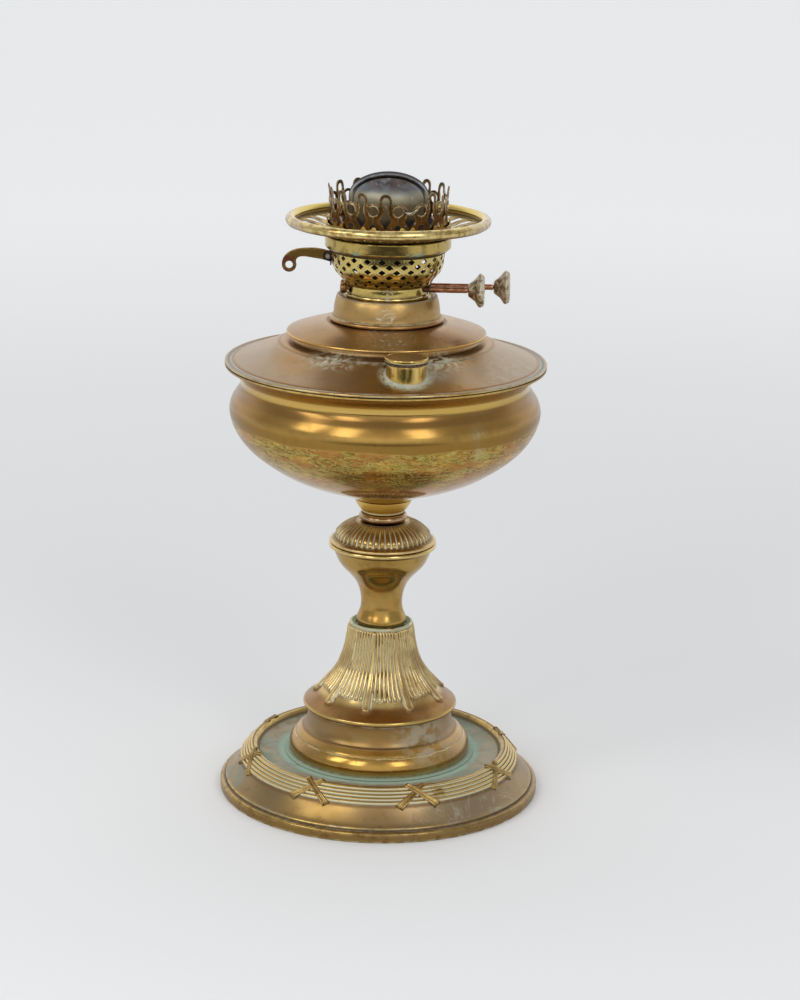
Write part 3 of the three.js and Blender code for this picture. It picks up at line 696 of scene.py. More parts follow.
def fount_cap_disc():
    bead = arc((55.6, 271.65), CAP_DISC_RADIUS - 55.6, -90, 75, 8)
    top = curve([(55.2, 272.6), (53, 273.3), (50, 274.3), (45, 275.8), (40, 277.1), (36, 277.9), (33, 278.2)], 4)
    under = [(28.2, 278.2), (28.2, 277), (36, 276.8), (45, 274.6), (54.4, 271.9)]
    return spun("fount_cap_disc_spun", bead + top + under, 240, 1.1)


def fount_collar():
    tail = [(22.8, 272), (27.9, 272), (27.9, 278.5), (30.6, 278.5)]
    bead = arc((31.1, 279.75), 1.2, -80, 80, 8)
    cone = curve([(30.3, 281.6), (30.05, 283), (29.85, 285.5), (29.5, 288), (29.0, 290.3), (28.45, 292)], 4)
    top = arc((27.4, 292.2), 1.0, 15, 95, 5) + [(26.5, 293.0), (25.9, 292.5), (25.6, 292.0), (22.8, 292.0)]
    return spun("fount_collar_spun", tail + bead + cone + top, 180, 0.9)


def shoulder_height(x, y):
    line = [(28, 276.7), (52.3, 270), (54.5, 267.1), (59.2, 266.3)] + SHOULDER_CONE[::-1] + [(95, 252)]
    return float(np.interp(math.hypot(x, y), [p[0] for p in line], [p[1] for p in line]))


def filler_neck():
    """Tube soldered on the sloping shoulder: its lower edge and the solder fillet follow it."""
    columns, top = 96, 268.3
    fillet = [(12.5, -0.25), (12.0, 0.1), (11.6, 0.35), (11.3, 0.7), (11.08, 1.1), (10.98, 1.6)]
    rings = []
    for radius, rise in fillet:
        rings.append([(radius, rise, True)] * columns)
    for share in (0.35, 0.6, 0.8, 0.93):
        rings.append([(10.98, share, None)] * columns)
    inner = [(10.9, top - 0.1), (10.6, top), (9.5, top), (9.4, 267.5), (9.4, 258), (13.2, 252)]
    rings += [[(radius, height, False)] * columns for radius, height in inner]
    points = []
    for ring in rings:
        for k, (radius, value, kind) in enumerate(ring):
            turn = 2 * math.pi * k / columns
            x, y = FILLER.x + radius * math.sin(turn), FILLER.y - radius * math.cos(turn)
            ground = shoulder_height(x, y)
            if kind is True:
                # lumpy solder
                lump = 0.12 * math.sin(5 * turn + 1) + 0.08 * math.sin(11 * turn) if value > 0.3 else 0
                z = ground + value + lump
            elif kind is None:
                z = (ground + 1.6) * (1 - value) + top * value
            else:
                z = min(value, ground - 0.7) if value < 260 else value
            points.append((x, y, z))
    rows = len(rings)
    faces = []
    for i in range(rows):
        j = (i + 1) % rows
        for k in range(columns):
            m = (k + 1) % columns
            faces.append((i * columns + k, i * columns + m, j * columns + m, j * columns + k))
    hollow = [1.0 if 1 <= i // columns <= 4 else 0.0 for i in range(len(points))]
    return add_mesh("filler_neck_soldered", points, faces, 35.0, {"hollow": hollow})


def filler_cap():
    plug = [(0, 264.5), (8.8, 264.5), (8.9, 264.8), (8.9, 269.7), (11.3, 269.7)]
    edge = arc((11.35, 270.4), 0.65, -60, 0, 4) + arc((11.35, 271.4), 0.65, 0, 150, 8)
    face = [(10.4, 271.5), (10.0, 271.45), (5, 271.5), (0, 271.5)]
    return spun("filler_cap_turned", plug + edge + face, 96, 0.8, axis=(FILLER.x, FILLER.y))


# ---------------------------------------------------------------- burner

def along_x(made, y, z=None):
    """Turns a piece made about Z so that it lies along X, at the spindles' height."""
    lay = Matrix(((0, 0, 1, 0), (0, 1, 0, y * MM), (-1, 0, 0, (z or SPINDLE_Z) * MM), (0, 0, 0, 1)))
    made.data.transform(lay)
    return made


def burner_skirt():
    low = [(21.4, 279), (22.4, 279), (22.4, 292.4)]
    roll = arc((22.45, 293.55), 1.05, -85, 85, 8)
    top = curve([(22.45, 294.9), (22.3, 296.5), (22.3, 298), (22.45, 299.5)], 3) + [(22.2, 299.75), (21.4, 299.75)]
    made = spun("burner_skirt_spun", low + roll + top, 180, 0.9)
    for side in (-1, 1):
        for bore in ([(0, 0), (1.85, 0), (1.85, 30), (0, 30)], [(0, -30), (1.35, -30), (1.35, 0), (0, 0)]):
            carve(made, along_x(spun("bore_cutter", bore, 24, 40), side * abs(SPINDLE_Y)))
    return made


BASKET_SIDE = [
    (22.7, 300.0), (23.7, 300.2), (24.3, 301.3), (25.4, 303.0), (27.0, 304.8), (28.7, 306.7), (29.8, 308.9),
    (30.45, 311.2), (30.85, 313.6), (31.0, 316.0), (31.0, 319.4),
]


def measured(line):
    """A line's points and how far along it each one is."""
    lengths = [0.0]
    for a, b in zip(line, line[1:]):
        lengths.append(lengths[-1] + math.dist(a, b))
    return np.array(line), np.array(lengths)


def air_basket():
    side, lengths = measured(curve(BASKET_SIDE, 5))
    columns, scale = 24, 0.52          # scale: flat mm for a degree
    half = scale * 180 / columns
    first = -5.4

    def at_height(z):
        return float(np.interp(z, side[:, 1], lengths))

    def diamond(u, z, width, height):
        v = at_height(z)
        return [(u - width, v), (u, v - height), (u + width, v), (u, v + height)]

    rows = [(316.3, 2.1, 1.6), (313.5, 2.1, 1.6), (310.7, 2.1, 1.55), (307.8, 2.1, 1.5), (304.9, 2.1, 1.4), (302.3, 1.9, 1.1)]
    whole = [diamond(0, *row) for row in rows[::2]]
    edge = [(-half, 0.0), (half, 0.0)]
    for z, width, height in rows[::-2]:
        v = at_height(z)
        edge += [(half, v - height), (half - width, v), (half, v + height)]
    edge += [(half, lengths[-1]), (-half, lengths[-1])]
    for z, width, height in rows[1::2]:
        v = at_height(z)
        edge += [(-half, v + height), (-half + width, v), (-half, v - height)]
    lever_copy = round((-90 - first) * columns / 360) % columns
    middle = (-90 - first - lever_copy * 360 / columns + 180) % 360 - 180
    notch_low, notch_high = at_height(311.2), lengths[-1] - 0.4
    notch = [(middle * scale + dx, v) for dx, v in (
        (-1.35, notch_low), (1.35, notch_low), (1.35, notch_high), (-1.35, notch_high))]
    with_notch = (list(edge), whole + [notch])

    def place(u, v, copy):
        radius = np.interp(v, lengths, side[:, 0])
        height = np.interp(v, lengths, side[:, 1])
        return at_angle(first + copy * 360 / columns + u / scale, radius, height)

    return pierced(
        "air_basket_pierced", edge, whole, 1.1, place, 0.8, columns,
        trim=lambda copy: with_notch if copy == lever_copy else None,
    )


def winder_knob(name, side, start):
    outline = [(0, 8.6), (1.5, 8.6), (1.5, 0.3)] + curve([
        (2.8, 0.3), (3.7, 0.8), (4.5, 1.9), (5.3, 3.1), (6.3, 4.2), (7.6, 5.2), (8.8, 6.0), (9.4, 6.7),
    ], 5) + arc((9.0, 7.3), 0.5, -20, 60, 4) + curve([(9.05, 8.1), (8.6, 8.8), (7.4, 9.3), (5.2, 9.3), (2.5, 9.0), (0, 8.9)], 4)

    def wear(radius, height, degrees):
        turn = np.radians(degrees)
        lumps = np.sin(5 * turn + height) + np.sin(9 * turn + 2.3 * height + 1) + 0.6 * np.sin(17 * turn)
        return np.where(radius > 3.2, 0.07 * lumps * np.clip((radius - 3) / 5, 0, 1), 0.0)

    made = spun(name, outline, 96, 0.5, wear)
    made.data.transform(Matrix.Translation((0, 0, start * MM)))
    return along_x(made, side * abs(SPINDLE_Y))


def spindle(name, side, knob_start):
    outline = [(0, -25.2), (0.8, -25.2), (1.0, -25.0), (1.0, 17), (1.6, 17.5), (1.6, 23.0), (1.75, 23.4), (1.75, 24.6), (1.62, 25.0)]
    outline += [(1.62, knob_start - 1.0), (1.5, knob_start), (1.1, knob_start), (1.1, knob_start + 8), (0, knob_start + 8)]

    def wear(radius, height, degrees):
        turn = np.radians(degrees)
        return np.where(radius > 1.3, 0.03 * np.sin(height * 1.3) + 0.02 * np.sin(3 * turn + height * 0.6), 0.0)

    return along_x(spun(name, outline, 36, 1.2, wear), side * abs(SPINDLE_Y))


def wick(name, side):
    """A flat woven wick: soft ribbed edges, and a charred, uneven top."""
    low, high = LOW[f"{name}_wick"].z, HIGH[f"{name}_wick"].z
    half, thick = HIGH[f"{name}_wick"].x, (HIGH[f"{name}_wick"].y - LOW[f"{name}_wick"].y) / 2
    rings = []
    steps, across = 110, 30
    chars = random.Random(4)
    ragged = [chars.uniform(-0.5, 0.0) for _ in range(across + 1)]
    for i in range(steps + 1):
        t = i / steps
        ring = []
        for way in (1, -1):
            for k in range(across + 1):
                w = way * (-1 + 2 * k / across)
                x = w * half
                rib = 0.85 + 0.15 * math.cos(w * math.pi * 11)
                y = -way * thick * rib * (1 - abs(w) ** 10 * 0.6)
                z = low + (high - low) * t
                if i == steps:
                    z += ragged[round((w + 1) / 2 * across)]
                ring.append((x, side * abs(TUBE_Y) + y, z))
        rings.append(ring)
    return loft(f"{name}_wick_woven", rings)


# ---------------------------------------------------------------- snuffer lever

def snuffer_lever():
    eye, eye_radius = (-55.2, 308.8), 4.1
    body = curve([
        (-18.4, 313.0), (-24, 312.5), (-31, 312.2), (-34, 311.8), (-38.4, 312.4), (-43.5, 313.2), (-47.5, 313.6),
        (-49.9, 313.1), (-51.2, 311.8), (-51.4, 310.0),
    ], 3)
    turn = arc(eye, eye_radius, 8, -190, 22)
    back = curve([
        (-59.2, 310.6), (-58.4, 312.8), (-56.6, 315.1), (-54.0, 316.8), (-50.5, 317.9), (-46, 318.45),
        (-40.9, 318.55), (-36.8, 318.0), (-33.4, 317.2), (-30, 316.0), (-24, 315.8), (-18.6, 315.4),
    ], 3)
    outline = body + turn + back + [(-18.0, 314.2)]
    holes = [arc(eye, 2.1, 0, 345, 23), arc((-33.3, 314.2), 1.4, 0, 330, 11)]
    made = pierced("snuffer_lever_cut", outline[::-1], holes, 1.2, lambda u, v, copy: (u, -0.8, v), 1.6)
    soften = made.modifiers.new("soften", "BEVEL")
    soften.width = 0.3 * MM
    soften.segments = 3
    soften.limit_method = "ANGLE"
    soften.angle_limit = math.radians(50)
    settle(made)
    return made


# ---------------------------------------------------------------- gallery

def gallery_band():
    chamfer = [(31.35, 317.9), (31.9, 317.75)] + curve([(32.4, 318.0), (34.0, 319.3), (34.9, 320.1)], 3)
    wall = arc((34.6, 320.9), 0.8, -35, 0, 3) + [(BAND_RADIUS, 323), (BAND_RADIUS, 325.8)] + arc((34.9, 326.1), 0.5, 0, 90, 4)
    under = [(30.6, 326.6), (30.6, 325.6), (34.5, 325.6), (34.5, 321.3), (31.35, 318.9)]
    return spun("gallery_band_spun", chamfer + wall + under, 180, 0.9)


def ring_dish():
    """The conical dish with its radial slots."""
    copies, scale = 28, 0.75
    half = scale * 180 / copies
    low, high = 33.9, 50.6

    def slot_middle(v):
        return 0.45 * math.sin(math.pi * (v - 37.8) / 10.6)

    slot = arc((slot_middle(38.4), 38.4), 1.5, 180, 360, 6)
    slot += [(slot_middle(v) + 2.1, v) for v in (40.5, 42, 43.5, 45, 46.5)]
    slot += arc((slot_middle(47.3), 47.3), 2.1, 0, 180, 6)
    slot += [(slot_middle(v) - 2.1, v) for v in (46.5, 45, 43.5, 42, 40.5)]
    first = 180 / copies

    def place(u, v, copy):
        height = np.interp(v, [33.9, 36.5, 40, 44, 49.4, 50.6], [327.3, 328.9, 330.7, 331.8, 332.8, 332.85])
        return at_angle(first + copy * 360 / copies - u / scale, v, height)

    return pierced("ring_dish", [(-half, low), (half, low), (half, high), (-half, high)], [slot], 1.3, place, 0.4, copies)


def ring_bead():
    roll = arc((54.55, 334.95), RING_RADIUS - 54.55, -88, 165, 22)
    seat = [(52.65, 334.6), (52.6, 333.3), (52.0, 332.95), (50.2, 332.85), (50.2, 331.85), (53, 331.9)]

    def dents(radius, height, degrees):
        turn = np.radians(degrees)
        return np.where(radius > 53.5, 0.1 * np.sin(3 * turn + 0.6) + 0.05 * np.sin(8 * turn) + 0.03 * np.sin(19 * turn), 0.0)

    return spun("ring_bead", roll + seat, 300, 0.7, dents)


def ring_tabs():
    """The collar inside the dish, cut into pairs of pointed tabs that hold the coronet."""
    copies, scale = 10, 0.6
    half = scale * 180 / copies
    right = [(half, 333.6), (4.9, 333.7), (4.5, 334.5), (4.1, 335.4), (3.3, 336.1), (2.4, 335.8), (1.7, 335.0), (1.0, 334.3)]
    left = [(-u, v) for u, v in reversed(right)]
    edge = [(-half, 327.3), (half, 327.3)] + right + left

    def place(u, v, copy):
        radius = np.interp(v, [327, 333, 336.2], [34.35, 34.3, 33.9])
        return at_angle(18 + copy * 360 / copies + u / scale, radius, v)

    return pierced("ring_tabs", edge, [], 1.1, place, 0.5, copies)


def shade_ring():
    return joined("shade_ring_slotted", [ring_dish(), ring_bead(), ring_tabs()])


CORONET_RADIUS = 32.9
CORONET_UNITS = 15
EYELET_Z, EYELET_RADIUS = 344.6, 2.85


def coronet_lean(degrees, height):
    """How far the coronet leans out of true: its tips have been bent now and then."""
    up = np.clip((height - 339) / 14, 0, 1) ** 1.6
    turn = math.radians(degrees)
    return up * (0.7 + 0.55 * math.sin(3 * turn + 0.5) + 0.45 * math.sin(7 * turn + 2) + 0.3 * math.sin(13 * turn))


def coronet():
    pitch = 360 / CORONET_UNITS
    half = math.radians(pitch / 2) * CORONET_RADIUS
    first = -2.6
    foot_z = 326.9
    vent = [(half + x, y) for x, y in arc((0, 335.3), 1.9, -90, -270, 8)]
    eyelet = [(half + x, y) for x, y in arc((0, EYELET_Z), EYELET_RADIUS, -90, -270, 12)]
    ring_top = [(half + x, y) for x, y in arc((0, EYELET_Z), 4.35, -270, -222, 5)]
    arch = ring_top[:1] + ring_top[1:] + curve([
        (3.55, 348.5), (3.35, 349.7), (3.3, 350.9), (3.0, 352.2), (2.3, 353.4), (1.2, 354.2), (0, 354.4),
    ], 3)
    right = [(half, foot_z)] + vent + eyelet + arch
    left = [(-u, v) for u, v in reversed(right)]
    edge = right + left[1:]
    keyhole_side = [
        (0, 334.6), (1.6, 337.2), (3.3, 339.5), (2.3, 341.6), (1.45, 343.3), (1.15, 344.8), (1.15, 346.2), (1.45, 347.4),
        (1.85, 348.7), (1.95, 350.0), (1.7, 351.2), (1.0, 352.1), (0, 352.4),
    ]
    keyhole = keyhole_side + [(-u, v) for u, v in reversed(keyhole_side[1:-1])]
    torn_arch = ring_top + [(3.0, 346.9), (1.9, 345.9)]
    torn_side = torn_arch + [(1.15, 344.8)] + keyhole_side[4::-1]
    torn_right = [(half, foot_z)] + vent + eyelet + torn_side
    torn = (torn_right + [(-u, v) for u, v in reversed(torn_right[:-1])], [])

    def place(u, v, copy):
        degrees = first + copy * pitch + math.degrees(u / CORONET_RADIUS)
        to_eyelet = math.hypot(abs(u) - half, v - EYELET_Z)
        rim = 0.35 * math.exp(-((to_eyelet - EYELET_RADIUS) / 0.55) ** 2)
        return at_angle(degrees, CORONET_RADIUS + rim + coronet_lean(degrees, v), v)

    return pierced(
        "coronet_pierced", edge, [keyhole], 0.85, place, 0.6, CORONET_UNITS,
        trim=lambda copy: torn if copy == 1 else None,
    )


def coronet_strip():
    """The torn arch, folded down across its gap."""
    steps = 16
    rings = []
    for i in range(steps + 1):
        t = i / steps
        degrees = 14.2 + 13.5 * t
        height = 344.9 - 1.5 * math.sin(math.pi * min(1, t * 1.15)) + 0.8 * t
        radius = 34.4 + 1.5 * math.sin(math.pi * t)
        wide = 0.85 * (1 - 0.75 * abs(2 * t - 1) ** 3)
        rings.append([
            at_angle(degrees, radius + a * 0.3, height + b * wide)
            for a, b in ((-1, -1), (1, -0.7), (1.2, 0), (1, 0.7), (-1, 1), (-0.8, 0))
        ])
    count = len(rings) * 6
    return loft("coronet_strip", rings, {"ridge": [1.0] * count})


def dome():
    spring_z, radius = 348.5, 22.4
    rise = LAMP_TOP_Z - spring_z
    crown = [
        (radius * math.sin(math.radians(a)), spring_z + rise * math.cos(math.radians(a))) for a in range(0, 91, 5)
    ]
    side = crown + [(22.5, 344), (22.6, 339), (22.9, 336.2), (23.6, 334.9), (24.6, 334.3), (25.4, 334.2)]
    side, lengths = measured(side)

    def unrolled(x, y):
        plan = math.hypot(x, y)
        far = float(np.interp(plan, side[:, 0], lengths))
        return (x * far / max(plan, 1e-6), y * far / max(plan, 1e-6))

    slots = []
    for way in (-1, 1):
        middle = way * abs(TUBE_Y)
        outward = curve([(-19.9, 1.0), (-16.5, -0.9), (-11, -1.7), (0, -1.9), (11, -1.7), (16.5, -0.9), (19.9, 1.0)], 4)
        inward = curve([(19.9, 1.5), (16, 2.2), (0, 1.9), (-16, 2.2), (-19.9, 1.5)], 4)
        bowed = [(x, middle + y * -way) for x, y in outward + inward]
        slots.append([unrolled(*p) for p in spaced(bowed[::-1] if way > 0 else bowed, 0.8)])
    steps = 120
    rim = [(lengths[-1] * math.cos(2 * math.pi * i / steps), lengths[-1] * math.sin(2 * math.pi * i / steps)) for i in range(steps)]

    def place(u, v, copy):
        far = math.hypot(u, v)
        plan = float(np.interp(far, lengths, side[:, 0]))
        height = float(np.interp(far, lengths, side[:, 1]))
        return (u * plan / max(far, 1e-6), v * plan / max(far, 1e-6), height)

    return pierced("dome_slotted", rim, slots, 1.1, place, 0.8)


# ---------------------------------------------------------------- more finishes

BLUE_GREY = tint("8f9498")
TARNISH = tint("a39684")
PURPLE_BROWN = tint("5d4a44")
YELLOW_GREEN = tint("99964f")
IRON_BLACK = tint("2a2622")


def base_brass():
    made = brass("base_brass", tint("a98950"), tint("8c6d3e"), 0.3, 26.0, YELLOW_BRASS, BROWN, 0.4, 0.65)
    made.cover(made.times(made.patches(60.0, 0.42, 0.62, shift=15.0), 0.45), tint("8c7a62"), 0.95, 0.36)
    lowness = (Vector(BORDER_FOOT) - Vector(BORDER_TOP)).normalized()
    down = made.maths(
        "ADD", made.maths("MULTIPLY", made.maths("SUBTRACT", made.radius, BORDER_TOP[0]), lowness.x),
        made.maths("MULTIPLY", made.maths("SUBTRACT", made.z, BORDER_TOP[1]), lowness.y))
    reed = math.dist(BORDER_FOOT, BORDER_TOP) / BORDER_REEDS
    share = made.maths("FRACT", made.maths("DIVIDE", down, reed))
    border = made.times(made.between(down, -0.2, 0.1), made.between(down, reed * BORDER_REEDS + 0.5, reed * BORDER_REEDS))
    made.cover(made.times(border, made.between(share, 0.2, 0.04), 0.9), tint("54401f"), 0.8, 0.5)
    made.cover(made.times(border, made.between(share, 0.56, 0.46), made.between(share, 0.08, 0.16), 0.8), tint("cfae66"), 1.0, 0.2)
    pale = made.times(border, made.between(share, 0.54, 0.66), made.patches(16.0, 0.28, 0.42, shift=51.0))
    made.cover(made.times(pale, 0.92), tint("d2ceae"), 0.2, 0.6)
    cove = made.times(made.zone(8.4, 16.8, 1.2), made.spread(76, 92))
    left = made.near_point(at_angle(-55, 85, 12), 50.0, 5.0)
    right = made.near_point(at_angle(42, 85, 12), 58.0, 12.0)
    made.cover(made.times(cove, left, 0.6), tint("806f54"), 0.92, 0.38)
    far_left = made.near_point(at_angle(-78, 86, 12), 26.0, 4.0)
    made.cover(made.times(cove, far_left, made.patches(9.0, 0.36, 0.6), 0.8), tint("86938b"), 0.4, 0.6)
    curls = made.noise(16.0, 1.0, 0.4, warp=4.0, shift=11.0)
    swirls = made.times(made.between(curls, 0.44, 0.49), made.between(curls, 0.55, 0.5))
    made.cover(made.times(cove, right, swirls, made.patches(6.0, 0.4, 0.6), 0.6), tint("c4bba6"), 0.6, 0.42)
    made.cover(made.times(cove, right, 0.4), TARNISH, 0.85, 0.36)
    made.cover(made.times(made.near_ring(81.6, 17.2, 1.4), 0.7), BROWN, 0.8, 0.5)
    made.cover(made.times(made.near_ring(90.0, 6.4, 1.0), 0.85), DARK_BROWN, 0.3, 0.7)
    made.cover(made.times(made.near_ring(89.5, 7.6, 0.6), made.patches(12.0, 0.4, 0.6), 0.7), BLUE_GREY, 0.2, 0.6)
    rim = made.between(made.z, 6.2, 5.4)
    made.cover(made.times(rim, 0.5), tint("7d6138"), rough=0.3)
    made.cover(made.times(rim, made.patches(6.0, 0.54, 0.7, shift=23.0), 0.45), tint("5b4427"), rough=0.36)
    made.cover(made.times(made.near_ring(92.8, 0.5, 1.0), made.patches(5.0, 0.42, 0.6), 0.7), CREAM, 0.5, 0.5)
    gutter = made.times(made.spread(55.0, 69.8, 1.0), made.between(made.z, 24.0, 22.8))
    made.cover(made.times(gutter, 0.9), tint("a89f86"), 0.5, 0.55)
    made.cover(made.times(gutter, made.patches(14.0, 0.5, 0.64, warp=1.0, shift=41.0), 0.7), tint("957a56"), 0.8, 0.5)
    green = made.maths("ADD", made.patches(9.0, 0.44, 0.68, detail=7.0), made.near_ring(56.0, 22.0, 6.0), clamp=True)
    made.cover(made.times(gutter, green, 0.7), tint("9cada0"), 0.05, 0.85, rise=0.06)
    for degrees, reach in ((-72, 44.0), (-150, 30.0), (52, 26.0), (130, 36.0)):
        pool = made.near_point(at_angle(degrees, 62, 22), reach, 6.0)
        made.cover(made.times(gutter, pool, made.patches(10.0, 0.38, 0.58, detail=7.0, warp=1.0), 0.75), tint("8a9f90"), 0.05, 0.88)
    made.cover(made.times(made.near_ring(56.6, 22.0, 4.0), made.patches(9.0, 0.26, 0.48), 0.95), tint("a5bfae"), 0.05, 0.85)
    made.cover(made.times(made.near_ring(70.4, 23.6, 1.6), 0.75), tint("6e6a52"), 0.3, 0.7)
    return made.done()


def ribbon_brass():
    made = brass("ribbon_brass", tint("ab8b52"), tint("8a6c3e"), 0.26, 9.0, tint("d8bd7c"), DARK_BROWN, 0.6)
    made.cover(made.times(made.between(made.hollow, 0.6, 1.0), made.patches(2.5, 0.5, 0.7), 0.6), CREAM, 0.2, 0.8)
    return made.done()


def dome_brass():
    made = brass("dome_brass", tint("bd9648"), tint("a67c3a"), 0.17, 24.0, POLISHED, tint("86642f"), 0.4, 0.5)
    streaks = made.between(made.turned(5.0, 30.0, shift=3.0), 0.5, 0.72)
    made.cover(made.times(streaks, 0.25), tint("7d5c2c"), rough=0.25)
    cove = made.zone(37.4, 50.4, 1.0)
    made.cover(made.times(cove, 0.8), tint("8a6d44"), 0.95, 0.36)
    made.cover(made.times(cove, made.patches(9.0, 0.42, 0.6, stretch=(1, 1, 2.0)), 0.5), tint("9c8154"), 0.9, 0.4)
    left = made.near_point(at_angle(-66, 48, 36), 34.0, 6.0)
    made.cover(made.times(left, 0.35), tint("93816a"), 0.9, 0.34)
    right = made.near_point(at_angle(38, 46, 44), 26.0, 6.0)
    made.cover(made.times(right, made.patches(6.0, 0.38, 0.56, detail=7.0), 0.75), tint("b3a993"), 0.4, 0.55)
    far_right = made.near_point(at_angle(68, 50, 34), 26.0, 6.0)
    made.cover(made.times(far_right, 0.5), tint("a08f77"), 0.85, 0.36)
    made.cover(made.times(made.near_ring(54.2, 22.8, 3.4), made.patches(6.0, 0.1, 0.3)), tint("98b3a3"), 0.05, 0.85)
    wavy = made.maths("ADD", made.z, made.maths("MULTIPLY", made.turned(9.0, 60.0, 2.0), 2.4))
    line = made.times(made.between(wavy, 34.2, 34.4), made.between(wavy, 34.8, 34.6), made.patches(18.0, 0.4, 0.56))
    made.cover(made.times(line, 0.7), tint("dccb9c"), 0.6, 0.4)
    made.cover(made.times(made.near_ring(44.8, 37.8, 1.2), 0.5), tint("7a5426"), 0.9, 0.4)
    made.cover(made.times(made.near_ring(46.2, 36.4, 1.2), 0.5), tint("c09050"), 1.0, 0.24)
    made.cover(made.times(made.near_ring(42.2, 50.0, 1.6), made.patches(9.0, 0.36, 0.6), 0.8), tint("b4bda6"), 0.2, 0.7)
    return made.done()


def bell_brass():
    made = brass("bell_brass", tint("d2b577"), tint("b08c54"), 0.2, 20.0, tint("e6d29c"), tint("5f4826"), 0.6, 0.5)
    side = made.times(made.spread(18.9, 39.4, 0.3), made.zone(56.4, 98.6, 0.5))
    degrees = made.maths("MULTIPLY", made.bearing, 180 / math.pi)
    turned_on = made.maths("FLOORED_MODULO", made.maths("ADD", degrees, BELL_TURN + BELL_PITCH / 2), BELL_PITCH)
    off_rib = made.maths("ABSOLUTE", made.maths("SUBTRACT", turned_on, BELL_PITCH / 2))
    along = made.maths("DIVIDE", made.maths("SUBTRACT", off_rib, RIB_HALF), REED_WIDTH)
    off_groove = made.maths("ABSOLUTE", made.maths("SUBTRACT", made.maths(
        "FRACT", made.maths("ADD", along, 1.5)), 0.5))
    off_rib_edge = made.maths("ABSOLUTE", along)
    reeded = made.between(made.radius, 33.4, 32.8)
    # painted shade: dark lines beside the reed grooves and along the rib edges, to deepen the relief
    near_groove = made.times(made.between(off_groove, 0.26, 0.12), made.between(along, -0.4, -0.3), reeded)
    near_edge = made.times(made.between(off_rib_edge, 0.34, 0.16), made.between(made.radius, 37.4, 36.4))
    lines = made.maths("MAXIMUM", near_groove, near_edge)
    made.cover(made.times(side, lines, 0.75), tint("6d5530"), 0.8, 0.45)
    fine_groove = made.times(made.between(off_groove, 0.15, 0.08), made.between(along, -0.4, -0.3), reeded)
    fine_edge = made.times(made.between(off_rib_edge, 0.2, 0.1), made.between(made.radius, 37.4, 36.4))
    fine = made.times(side, made.maths("MAXIMUM", fine_groove, fine_edge), made.patches(7.0, 0.3, 0.5))
    made.cover(made.times(fine, 0.95), tint("e3e0c4"), 0.1, 0.55)
    # painted shade: the reeded side painted darker towards the right, as the light falls from the left
    right_side_shade = made.times(side, made.between(made.x, 3.0, 20.0), made.patches(12.0, 0.34, 0.56, shift=53.0))
    made.cover(made.times(right_side_shade, 0.6), tint("8a6b3c"), 0.95, 0.34)
    flange = made.maths("SUBTRACT", 1.0, made.between(made.z, 57.5, 60.5))
    made.cover(made.times(flange, 0.8), tint("8a6135"), rough=0.34)
    made.cover(made.times(flange, made.patches(12.0, 0.4, 0.7), 0.6), tint("7f5a33"), rough=0.34)
    edge = made.near_ring(44.5, 52.6, 1.1)
    made.cover(made.times(edge, 0.85), YELLOW_BRASS, 1.0, 0.2)
    made.cover(made.times(made.near_ring(43.2, 50.8, 1.2), 0.7), BROWN, 0.8, 0.5)
    lip = made.between(made.z, 98.8, 99.8)
    made.cover(made.times(lip, made.patches(3.0, 0.3, 0.6), 0.75), tint("a3b5a2"), 0.1, 0.85)
    made.cover(made.times(lip, made.between(made.radius, 17.0, 16.5)), tint("93aa96"), 0.05, 0.9)
    return made.done()


def column_brass():
    made = brass("column_brass", tint("b39250"), tint("a17f44"), 0.1, 18.0, YELLOW_BRASS, tint("8d6b38"), 0.2, 0.5)
    made.cover(made.times(made.zone(99.0, 118.0, 14.0), 0.9), rough=0.24)
    made.cover(made.times(made.patches(9.0, 0.52, 0.64, detail=6.0, shift=71.0), 0.5), tint("8d6f3a"), rough=0.22)
    made.cover(made.times(made.zone(105.0, 122.0, 6.0), made.patches(7.0, 0.45, 0.66), 0.6), tint("b9823c"), rough=0.24)
    made.cover(made.times(made.near_ring(13.2, 99.6, 2.4), made.patches(5.0, 0.3, 0.6)), tint("8d957c"), 0.4, 0.6)
    made.cover(made.times(made.near_ring(28.8, 145.6, 1.3), 0.7), tint("7a5f33"), 0.9, 0.35)
    made.cover(made.times(made.near_ring(30.6, 147.4, 1.2), 0.9), tint("e0c98c"), 1.0, 0.16)
    return made.done()


def knop_brass():
    made = brass("knop_brass", tint("b0904f"), tint("94733f"), 0.2, 12.0, tint("dcc894"), tint("5a4226"), 0.5, 0.5)
    flutes = made.times(made.spread(15.6, 27.2, 0.6), made.zone(151, 162))
    rays = made.maths("COSINE", made.maths("MULTIPLY", made.bearing, 50.0))
    fillets = made.between(rays, -0.56, -0.86)
    made.cover(made.times(flutes, made.between(rays, -0.1, -0.6), 0.6), tint("5f4828"), 0.9, 0.45)
    made.cover(made.times(flutes, fillets, made.patches(5.0, 0.2, 0.56), 0.9), tint("d6cbaa"), 0.7, 0.4)
    blobs = made.times(made.near_ring(26.8, 153.2, 1.3), made.between(rays, -0.45, -0.9), made.patches(4.0, 0.3, 0.6))
    made.cover(blobs, tint("d5d3c2"), 0.2, 0.7, rise=0.08)
    dark = made.times(made.near_ring(27.5, 151.9, 1.2), made.between(rays, -0.2, 0.4), 0.8)
    made.cover(dark, DARK_BROWN, 0.5, 0.6)
    made.cover(made.times(made.near_ring(30.2, 149.6, 1.6), 0.85), tint("d8bd8a"), 0.95, 0.46)
    made.cover(made.times(made.near_ring(14.8, 161.4, 1.8), 0.8), tint("b9a982"), 0.7, 0.45)
    return made.done()


def ring_copper():
    made = brass("ring_copper", tint("a28460"), tint("86674a"), 0.16, 8.0, tint("ccab86"), BROWN, 0.2, 0.6)
    made.cover(made.times(made.near_ring(12.0, 166.6, 1.3), 0.8), DARK_BROWN, 0.3, 0.7)
    return made.done()


